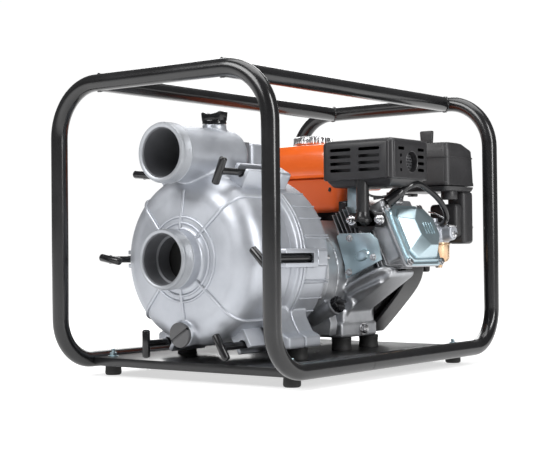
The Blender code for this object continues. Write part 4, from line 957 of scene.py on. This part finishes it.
keep("shroud_screws", gathered([hex_bolt((x, 0.0354, z), (0, -1, 0), 0.0080, 0.005)
                                for x, z in ((0.0975, 0.2105), (0.1425, 0.1800),
                                             (0.0960, 0.1560))]),
     "pump_set", "steel")

# %% [markdown]
# ## Exhaust, muffler and guard
# The pipe is a tube bent once, with a flange pulled down by two plated nuts. The guard is thin
# sheet, so it is a rounded box with another taken out of it, and the slots are cut right
# through. A darker paint where the slots are would be flat: through real slots the muffler
# shows, and the sheet's thickness catches the light.

# %% Exhaust pipe
PIPE_Y = 0.032
elbow = pipe(rounded_path([(port.x, port.y - 0.004, port.z), (port.x, PIPE_Y, port.z),
                           (port.x, PIPE_Y, 0.3068)], 0.0085, 10), 0.0102, 32)
flare = lathe([(0, 0.2365), (0.0150, 0.2365), (0.0150, 0.2405), (0.0118, 0.2445),
               (0.0102, 0.2520),
               (0, 0.2520)], (port.x, PIPE_Y, 0), (0, 0, 1), 48)
flange = framed_block((port.x, port.y - 0.002, port.z), (1, 0, 0), (0, 0, 1),
                      (0.066, 0.004, 0.024), 0.0018)
collar = bar((port.x, port.y - 0.0040, port.z - 0.002), (port.x, port.y, port.z - 0.002), 0.0185,
             sides=48)
keep("exhaust_tube", gathered([elbow, flare, flange, collar]), "pump_set", "housing enamel",
     ["exhaust_pipe"])
nuts = []
for dx in (-0.027, 0.027):
    nuts.append(hex_bolt((port.x + dx, port.y - 0.0042, port.z), (0, -1, 0), 0.0112, 0.0080))
    nuts.append(bar((port.x + dx, port.y - 0.010, port.z), (port.x + dx, port.y - 0.0165, port.z),
                    0.0036, sides=20, round_by=0.0006))
keep("exhaust_nuts", gathered(nuts), "pump_set", "chrome")

# %% Muffler guard
low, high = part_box("muffler_guard")
GUARD_LOW, GUARD_HIGH, SHEET = (0.055, 0.018), (high.x, high.y), 0.0014


def guard_skin(inset):
    """The guard's outside, or its inside when inset is the sheet's thickness."""
    return stacked(inset_levels(GUARD_LOW, GUARD_HIGH, 0.011, [
        (0.2920 + inset, 0.017 + inset), (0.2934 + inset, 0.0135 + inset),
        (0.3010 + inset, 0.0070 + inset),
        (0.3030 + inset, 0.0062 + inset), (0.3034 + inset, 0.0014 + inset),
        (0.3048 + inset, inset),
        (0.3605, inset), (0.3640 - inset * 0.5, 0.0014 + inset),
        (0.3665 - inset * 0.8, 0.0050 + inset),
        (0.3680 - inset, 0.0105 + inset)]))


cutters = [guard_skin(SHEET), bar((port.x, PIPE_Y, 0.28), (port.x, PIPE_Y, 0.32), 0.0113)]
for z in (0.3187, 0.3296, 0.3406, 0.3515):
    for x0, x1 in ((0.0729, 0.1130), (0.1273, 0.1672)):
        cutters.append(block((x0, 0.010, z - 0.0026), (x1, 0.028, z + 0.0026), 0.0025, 3))
for z in (0.351, 0.3396, 0.329, 0.3183):
    cutters.append(block((high.x - 0.01, 0.0935, z - 0.0026),
                         (high.x + 0.01, 0.1130, z + 0.0026), 0.0025, 3))
cutters.append(block((high.x - 0.01, 0.0348, 0.3484), (high.x + 0.01, 0.0536, 0.3536), 0.0025, 3))
for z in (0.340, 0.329, 0.317):
    cutters.append(bar((high.x - 0.01, 0.043, z), (high.x + 0.01, 0.043, z), 0.0030, sides=24))
cutters.append(bar((high.x - 0.01, 0.0755, 0.3307), (high.x + 0.01, 0.0755, 0.3307), 0.0165,
                   sides=48))
guard = cut(guard_skin(0), *cutters)
flanges = [pipe([(x, y, 0.3058), (x, y, 0.3612)], 0.0026, 16)
           for x, y in ((high.x - 0.0090, 0.0188), (high.x - 0.0020, 0.0255))]
rim = lathe([(0.0163, -0.010), (0.0171, -0.010), (0.0178, 0.0006), (0.0171, 0.0012),
             (0.0163, 0.0006),
             (0.0163, -0.010)], (high.x - 0.0006, 0.0755, 0.3307), (1, 0, 0), 64)
keep("guard_sheet", gathered([guard, rim] + flanges), "pump_set", "guard enamel",
     ["muffler_guard"])
muffler = block((0.0685, 0.0325, 0.3078), (0.1775, 0.1175, 0.3555), 0.010, 5)
keep("muffler_body", muffler, "pump_set", "housing enamel", ["muffler"])
screen = bar((high.x - 0.0110, 0.0755, 0.3307), (high.x - 0.0100, 0.0755, 0.3307), 0.0176,
             sides=48)
holes = [bar((high.x - 0.02, 0.0755 + 0.0052 * (a + 0.5 * b), 0.3307 + 0.0045 * b),
             (high.x, 0.0755 + 0.0052 * (a + 0.5 * b), 0.3307 + 0.0045 * b), 0.0017, sides=10)
         for a in range(-3, 4) for b in range(-3, 4) if abs(a + b) < 4]
keep("outlet_screen", cut(screen, *holes), "pump_set", "dark fins")

# %% [markdown]
# ## Fuel tank and cap
# The tank is two pressings joined at a flange, so its section changes with height and its plan
# is a rounded rectangle throughout. Rings of that plan laid at different heights give the creases
# where they belong; a bevelled cube would only have one radius. The cap is spun and fluted.

# %% Tank
left, right, front, back = -0.150, 0.038, 0.078, 0.255
upper = stacked(inset_levels((left, front), (right, back), 0.024, [
    (0.3125, 0.006), (0.3140, -0.0012), (0.3172, -0.0012), (0.3185, 0.0010), (0.3220, 0.0004),
    (0.3520, 0.0010), (0.3556, 0.0024), (0.3640, 0.0062), (0.3690, 0.0105), (0.3712, 0.0160),
    (0.3722, 0.026), (0.3735, 0.052), (0.3740, 0.080)]), 10)
lower = stacked([(0.2570, -0.128, 0.036, 0.094, 0.158, 0.012),
                 (0.2585, -0.133, 0.041, 0.089, 0.163, 0.014),
                 (0.2630, -0.137, 0.0455, 0.0855, 0.166, 0.016),
                 (0.2860, -0.1415, 0.0495, 0.0835, 0.168, 0.018)],
                10)
collar = stacked([(0.2860, -0.1415, 0.0495, 0.0835, 0.168, 0.018),
                  (0.3020, -0.1440, 0.0500, 0.0822, 0.169, 0.018),
                  (0.3126, -0.146, 0.0360, 0.0815, 0.169, 0.018)], 10)
shelf = stacked([(0.2960, -0.1400, 0.0300, 0.150, 0.246, 0.018),
                 (0.3126, -0.146, 0.0340, 0.150, 0.252, 0.018)], 10)
neck = lathe([(0.0225, 0.360), (0.0290, 0.360), (0.0290, 0.3760), (0.0278, 0.3782),
              (0.0225, 0.3782),
              (0.0225, 0.360)], (-0.055, 0.150, 0), (0, 0, 1), 64)
mouth = bar((-0.055, 0.150, 0.345), (-0.055, 0.150, 0.39), 0.0222, sides=64)
keep("tank_upper_shell", gathered([cut(upper, mouth), neck]), "pump_set", "orange enamel",
     ["fuel_tank"])
keep("tank_lower_shell", fused([lower, collar, shelf], 0.0022, 4), "pump_set",
     "orange shadow enamel")
stop_pad = stacked([(0, -0.0026, 0.0026, -0.0060, 0.0060, 0.0024),
                    (0.0012, -0.0026, 0.0026, -0.0060, 0.0060, 0.0024),
                 (0.0018, -0.0020, 0.0020, -0.0054, 0.0054, 0.0019)])
stop_pad.transform(turned_to((0.0266, 0.0840, 0.2951), (0, -1, 0.35)))
keep("tank_bump_stop", stop_pad, "pump_set", "gloss plastic")
cap = lathe([(0, 0.3902), (0.0240, 0.3900), (0.0290, 0.3892), (0.0322, 0.3872), (0.0330, 0.3840),
             (0.0330, 0.3765), (0.0322, 0.3752), (0.0300, 0.3752), (0.0300, 0.3786),
             (0.0210, 0.3788),
             (0.0210, 0.3692), (0, 0.3692)], (-0.055, 0.150, 0), (0, 0, 1), 96)
flutes = [bar((-0.055 + 0.0328 * math.cos(a), 0.150 + 0.0328 * math.sin(a), 0.3762),
              (-0.055 + 0.0324 * math.cos(a), 0.150 + 0.0324 * math.sin(a), 0.3876), 0.0013,
              sides=10,
              round_by=0.0003, steps=1)
          for a in (math.tau * i / 40 for i in range(40))]
keep("fuel_cap_shell", gathered([cap] + flutes), "fuel_cap_body", "chrome", ["fuel_cap"])

# %% [markdown]
# ## Air cleaner and carburettor
# The air cleaner's cover is a plastic moulding with draft and one long slope at its back. The
# same stacked rings make it, because each ring may move on one side only. The carburettor is a
# small casting: a body, a throat, a float bowl and the levers, which keep their own pivots.

# %% Air cleaner
low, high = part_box("air_cleaner_cover")
x0, x1, y0, y1 = low.x, high.x, low.y, high.y


def cleaner_skin(d):
    """The cover's outside, or its inside when d is its thickness."""
    return stacked([(z, x0 + i + d, x1 - i - d, y0 + i + d, y - d, 0.010) for z, i, y in (
        (low.z - (0.004 if d else 0.001), 0.0000, y1 - 0.0003), (0.3035, 0.0000, y1 - 0.0006),
        (0.3045, 0.0006, y1 - 0.0012), (0.3420, 0.0012, y1 - 0.0036),
        (0.3580 - d, 0.0018, y1 - 0.0052),
        (0.3602 - d, 0.0024, y1 - 0.0075), (0.3700 - d, 0.0050, y1 - 0.0330),
        (0.3716 - d, 0.0090, y1 - 0.0390), (0.3722 - d, 0.0150, y1 - 0.0440))], 8)


knob = Vector((0.116, 0.250, high.z))
cover = cut(cleaner_skin(0), cleaner_skin(0.0028),
            bar(knob - Vector((0, 0, 0.02)), knob + Vector((0, 0, 0.01)), 0.0042))
seam = stacked([(0.3455, x0 + 0.0002, x1 - 0.0002, y0 + 0.0002, y1 - 0.0030, 0.010),
                (0.3475, x0 + 0.0002, x1 - 0.0002, y0 + 0.0002, y1 - 0.0031, 0.010)], 8)
seam = cut(seam, block((x0 + 0.004, y0 + 0.004, 0.340), (x1 - 0.004, y1 - 0.010, 0.352), 0.004))
keep("air_cleaner_moulding", gathered([cover, seam]), "pump_set", "moulded plastic",
     ["air_cleaner_cover"])
refined("filter_element", 0.0010, "filter foam")
base = stacked([(0.2886, x0 + 0.006, x1 - 0.006, y0 + 0.006, y1 - 0.006, 0.008),
                (0.2900, x0 + 0.003, x1 - 0.003, y0 + 0.003, y1 - 0.003, 0.010),
                (0.2950, x0 + 0.001, x1 - 0.001, y0 + 0.001, y1 - 0.0005, 0.010),
                (0.2972, x0 + 0.001, x1 - 0.001, y0 + 0.001, y1 - 0.0005, 0.010)], 8)
elbow = block((0.150, 0.2558, 0.200), (x1 - 0.002, y1 - 0.004, 0.2900), 0.007, 4)
teeth = [block((0.1560, 0.2870, 0.2660 + 0.0060 * i), (0.1800, 0.2922, 0.2692 + 0.0060 * i),
               0.001, 2)
         for i in range(4)]
socket = bar((0.1700, 0.2300, 0.275), (0.1700, 0.2300, 0.2900), 0.0140, sides=40, round_by=0.002)
throat = block((0.128, 0.2335, 0.212), (0.182, 0.2560, 0.268), 0.007, 4)
keep("air_cleaner_foot", gathered([base, elbow, socket, throat] + teeth), "pump_set",
     "moulded plastic",
     ["air_cleaner_base"])
boss = lathe([(0, -0.0140), (0.0032, -0.0140), (0.0032, 0.0003), (0.0115, 0.0003),
              (0.0118, 0.0020),
              (0.0095, 0.0052), (0.0062, 0.0068), (0, 0.0068)], knob, (0, 0, 1), 48)
wing = stacked([(0.0020, -0.0108, 0.0108, -0.0042, 0.0042, 0.0025),
                (0.0225, -0.0126, 0.0126, -0.0036, 0.0036, 0.0025),
                (0.0245, -0.0122, 0.0122, -0.0032, 0.0032, 0.0022),
                (0.0252, -0.0108, 0.0108, -0.0022, 0.0022, 0.0015)])
bmesh.ops.translate(wing, vec=knob, verts=wing.verts)
keep("air_cleaner_wing_knob", gathered([boss, wing]), "air_cleaner_knob_body", "moulded plastic",
     ["air_cleaner_knob"])

# %% Carburettor
body = [block((0.133, 0.198, 0.206), (0.166, 0.232, 0.236), 0.006, 4),
        bar((intake.x, 0.150, intake.z), (intake.x, 0.200, intake.z), 0.0155),
        bar((0.150, 0.2265, 0.204), (0.150, 0.2265, 0.214), 0.0200),
        bar((0.160, 0.2230, 0.2195), (0.183, 0.2230, 0.2195), 0.0165, 0.0125, round_by=0.002),
        bar((0.150, 0.2100, 0.230), (0.150, 0.2100, 0.244), 0.0080)]
keep("carburettor_casting", fused(body, 0.0013, 2), "pump_set", "blasted casting",
     ["carburettor"])
bowl = lathe([(0, 0.1600), (0.0056, 0.1600), (0.0056, 0.1680), (0.0105, 0.1688), (0.0155, 0.1712),
              (0.0182, 0.1760), (0.0186, 0.1985), (0.0198, 0.1995), (0.0198, 0.2030),
              (0, 0.2030)],
             (0.150, 0.227, 0), (0, 0, 1), 64)
keep("float_bowl_shell", gathered([bowl, hex_bolt((0.150, 0.227, 0.1685), (0, 0, -1), 0.0115,
                                                  0.0070)]),
     "pump_set", "brass plate", ["float_bowl"])
chromework = [bar((0.1820, 0.2050, 0.2305), (0.1820, 0.2300, 0.2305), 0.0021, sides=16,
                  round_by=0.0004),
              hex_bolt((0.1825, 0.2230, 0.2160), (1, 0, 0), 0.0075, 0.0040),
              bar((0.1760, 0.2860, 0.228), (0.1760, 0.2985, 0.228), 0.0022, sides=20,
                  round_by=0.0005),
              pipe([(0.140, 0.2130, 0.2545), (0.155, 0.2080, 0.2520), (0.172, 0.2060, 0.2440),
                    (0.180, 0.2060, 0.2300)], 0.0014, 12)]
keep("carburettor_hardware", gathered(chromework), "pump_set", "chrome")


# %% Levers and the stop switch
def control_lever(name, node, body, pivot, axis, way, length, tip):
    """A moulded lever: a hub, a tapered arm and a grip at its end, about its own pivot."""
    pivot, axis, way = Vector(pivot), Vector(axis).normalized(), Vector(way).normalized()
    hub = bar(pivot - axis * 0.0028, pivot + axis * 0.0028, 0.0078, round_by=0.0008)
    arm = framed_block(pivot + way * length / 2, way, axis, (length, 0.0085, 0.0032), 0.0008)
    grip = framed_block(pivot + way * length, way, axis, (tip, 0.0135, 0.0072), 0.0016)
    grooves = [framed_block(pivot + way * (length + step) + axis * 0.0036, way, axis,
                            (0.0012, 0.0105, 0.0010), 0.0003, 1) for step in (-0.0035, 0, 0.0035)]
    print(name, "points along", [round(c, 2) for c in way])
    keep(name, gathered([hub, arm, grip] + grooves), body, "moulded plastic", [node])


control_lever("throttle_arm", "throttle_lever", "throttle_body", (0.0645, 0.2135, 0.2880),
              (0, 0, 1),
              (0.1, 1, 0), 0.062, 0.014)
control_lever("choke_arm", "choke_lever", "choke_body", (0.1240, 0.240, 0.234), (1, 0, 0),
              (0, 1, 0.12), 0.042, 0.014)
control_lever("fuel_valve_arm", "fuel_valve_lever", "fuel_valve_body", (0.1240, 0.216, 0.214),
              (1, 0, 0), (0, 0.6, -0.8), 0.022, 0.014)
low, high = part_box("stop_switch")
middle = (low + high) / 2
rocker = [block((low.x, low.y, middle.z - 0.009), (high.x, low.y + 0.0064, middle.z + 0.009),
                0.0015),
          block((middle.x - 0.003, low.y + 0.002, middle.z - 0.007),
                (middle.x + 0.003, high.y, middle.z + 0.007), 0.0018)]
keep("stop_rocker", gathered(rocker), "switch_body", "gloss plastic", ["stop_switch"])

# %% Governor linkage and bracket
bracket = [block((0.080, 0.056, 0.238), (0.102, 0.0585, 0.292), 0.0008, 2),
           block((0.080, 0.0585, 0.262), (0.100, 0.078, 0.2645), 0.0008, 2)]
keep("governor_bracket", gathered(bracket), "pump_set", "zinc plate")
rods = [pipe(curved_path([(0.108, 0.058, 0.290), (0.118, 0.070, 0.2790), (0.126, 0.110, 0.2760),
                          (0.134, 0.170, 0.262), (0.138, 0.205, 0.2500)]), 0.0019, 10),
        pipe(curved_path([(0.124, 0.066, 0.2740), (0.144, 0.080, 0.2780),
                          (0.158, 0.100, 0.2800)]), 0.0024, 10),
        block((0.128, 0.080, 0.2650), (0.158, 0.104, 0.2740), 0.002, 2)]
keep("governor_rods", gathered(rods), "pump_set", "steel")
keep("ignition_module", block((0.060, 0.058, 0.240), (0.078, 0.076, 0.272), 0.003, 3), "pump_set",
     "gloss plastic")

boot = bar((0.1520, 0.0640, 0.2660), (0.1700, 0.0800, 0.2860), 0.0095, 0.0070, round_by=0.001)
hose = curved_path([(0.1560, 0.0670, 0.2710), (0.1690, 0.0790, 0.2850), (0.1795, 0.0930, 0.2945),
                    (0.1845, 0.1080, 0.2965), (0.1895, 0.1250, 0.2890), (0.1950, 0.1460, 0.2760),
                    (0.1975, 0.1650, 0.2590), (0.1900, 0.1850, 0.2420), (0.1720, 0.2020, 0.2320)])
keep("breather_hose", gathered([boot, pipe(hose, 0.0047, 20)]), "pump_set", "gloss plastic")

# %% [markdown]
# ## Fan housing and recoil starter
# The housing is a pressed drum with one side flattened, so that the starter's grip clears the
# frame. Its outline is a circle held back by a flat, smoothed where they meet. The recoil cover
# is spun, and its vents are cut through it.

# %% Fan housing
FAN_R, FAN_FLAT, FAN_FRONT, FAN_BACK = 0.124, 0.1045, 0.1653, 0.225


def fan_outline(inset, steps=120):
    """The drum's outline about the crankshaft, as (x, z)."""
    outline = []
    for step in range(steps):
        turn = math.tau * step / steps
        facing = math.cos(turn + math.radians(43))
        flat = FAN_FLAT / facing if facing > 0.2 else 9
        reach = (FAN_R ** -16 + flat ** -16) ** (-1 / 16) - inset
        outline.append((reach * math.cos(turn), CRANK_Z + reach * math.sin(turn)))
    return outline


def drum_body(inset, front, back, round_by):
    """The drum and its square crown."""
    shell = slab(fan_outline(inset), back - front, (0, back, 0), (0, -1, 0), round_by=round_by)
    top = block((-0.100 + inset, front, 0.200), (0.070 - inset, back, 0.254 - inset),
                round_by or 0.001)
    return gathered([shell, top])


housing = cut(through_modifiers(drum_body(0, FAN_FRONT, FAN_BACK, 0.005),
                                ("REMESH", {"mode": "VOXEL", "voxel_size": 0.0017})),
              block((-0.15, FAN_FRONT - 0.02, 0.01), (0.15, FAN_BACK + 0.02, 0.0505)),
              slab(fan_outline(0.0024), 0.0715, (0, FAN_BACK - 0.0024, 0), (0, -1, 0)),
              block((-0.0976, FAN_FRONT - 0.01, 0.199), (0.0676, FAN_BACK - 0.0024, 0.2516)),
              bar((0, FAN_BACK - 0.01, CRANK_Z), (0, FAN_BACK + 0.01, CRANK_Z), 0.070, sides=64))
keep("fan_housing_pressing", housing, "pump_set", "housing enamel", ["fan_housing"])
refined("flywheel", 0.0006, "iron", "rotor")

# %% Recoil starter
shell = lathe([(0, 0.262), (0.042, 0.262), (0.048, 0.2612), (0.070, 0.2515), (0.0755, 0.2478),
               (0.0815, 0.2360), (0.082, 0.2288), (0.0912, 0.2283), (0.092, 0.2276),
               (0.092, 0.2253),
               (0.0795, 0.2253), (0.0790, 0.2350), (0.0735, 0.2452), (0.0690, 0.2482),
               (0.0470, 0.2587), (0, 0.2592)], (0, 0, CRANK_Z), (0, 1, 0), 96)
vents = []
for index in range(12):
    turn = math.radians(30 * index + 15)
    out = Vector((math.cos(turn), 0, math.sin(turn)))
    vents.append(framed_block(Vector((0, 0.255, CRANK_Z)) + out * 0.056, out,
                              out.cross(Vector((0, 1, 0))), (0.018, 0.030, 0.0065), 0.002))
guide = bar((0.068, 0.246, 0.180), (0.1003, 0.246, 0.180), 0.0102, round_by=0.0012)
guide = cut(guide, bar((0.055, 0.246, 0.180), (0.12, 0.246, 0.180), 0.0042))
box = block((-0.080, 0.2286, 0.208), (-0.054, 0.2550, 0.234), 0.0015)
hub = lathe([(0, 0.2650), (0.0120, 0.2645), (0.0150, 0.2622), (0.0150, 0.2600), (0, 0.2600)],
            (0, 0, CRANK_Z), (0, 1, 0), 48)
keep("recoil_shell", gathered([cut(shell, *vents), guide, box, hub]), "pump_set",
     "housing enamel", ["recoil_cover"])
keep("recoil_screws", gathered([hex_bolt((0.0868 * math.cos(a), 0.2285,
                                          CRANK_Z + 0.0868 * math.sin(a)),
                                         (0, 1, 0), 0.008, 0.0045)
                                for a in (math.radians(30 + 60 * i) for i in range(6))]),
     "pump_set", "zinc plate")
low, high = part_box("starter_grip")
grip = stacked([(low.z, 0.1090, 0.1172, 0.2410, 0.2510, 0.0038),
                (low.z + 0.002, 0.1072, 0.1190, 0.2392, 0.2528, 0.0050),
                (0.180, 0.1066, 0.1196, 0.2385, 0.2535, 0.0055),
                (high.z - 0.002, 0.1072, 0.1190, 0.2392, 0.2528, 0.0050),
                (high.z, 0.1090, 0.1172, 0.2410, 0.2510, 0.0038)])
keep("starter_handle", gathered([grip, bar((0.1006, 0.246, 0.180), (0.110, 0.246, 0.180),
                                           0.0064)]),
     "grip_body", "moulded plastic", ["starter_grip"])

# %% [markdown]
# ## What runs inside
# These are seen through the ports and when the pump is opened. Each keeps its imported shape, with
# its edges rounded and its own finish, because nothing outside hides how plain they are.

# %% Internal pieces
for node, edge, surface, rides in (
        ("crankshaft", 0.0006, "steel", "rotor"), ("impeller", 0.0008, "iron", "rotor"),
        ("inner_volute", 0.0008, "iron", "pump_set"),
    ("mechanical_seal", 0.0004, "rubber", "pump_set"),
        ("suction_flap", 0.0005, "rubber", "flap"), ("cover_seal", 0.0003, "rubber", "pump_set")):
    refined(node, edge, surface, rides)
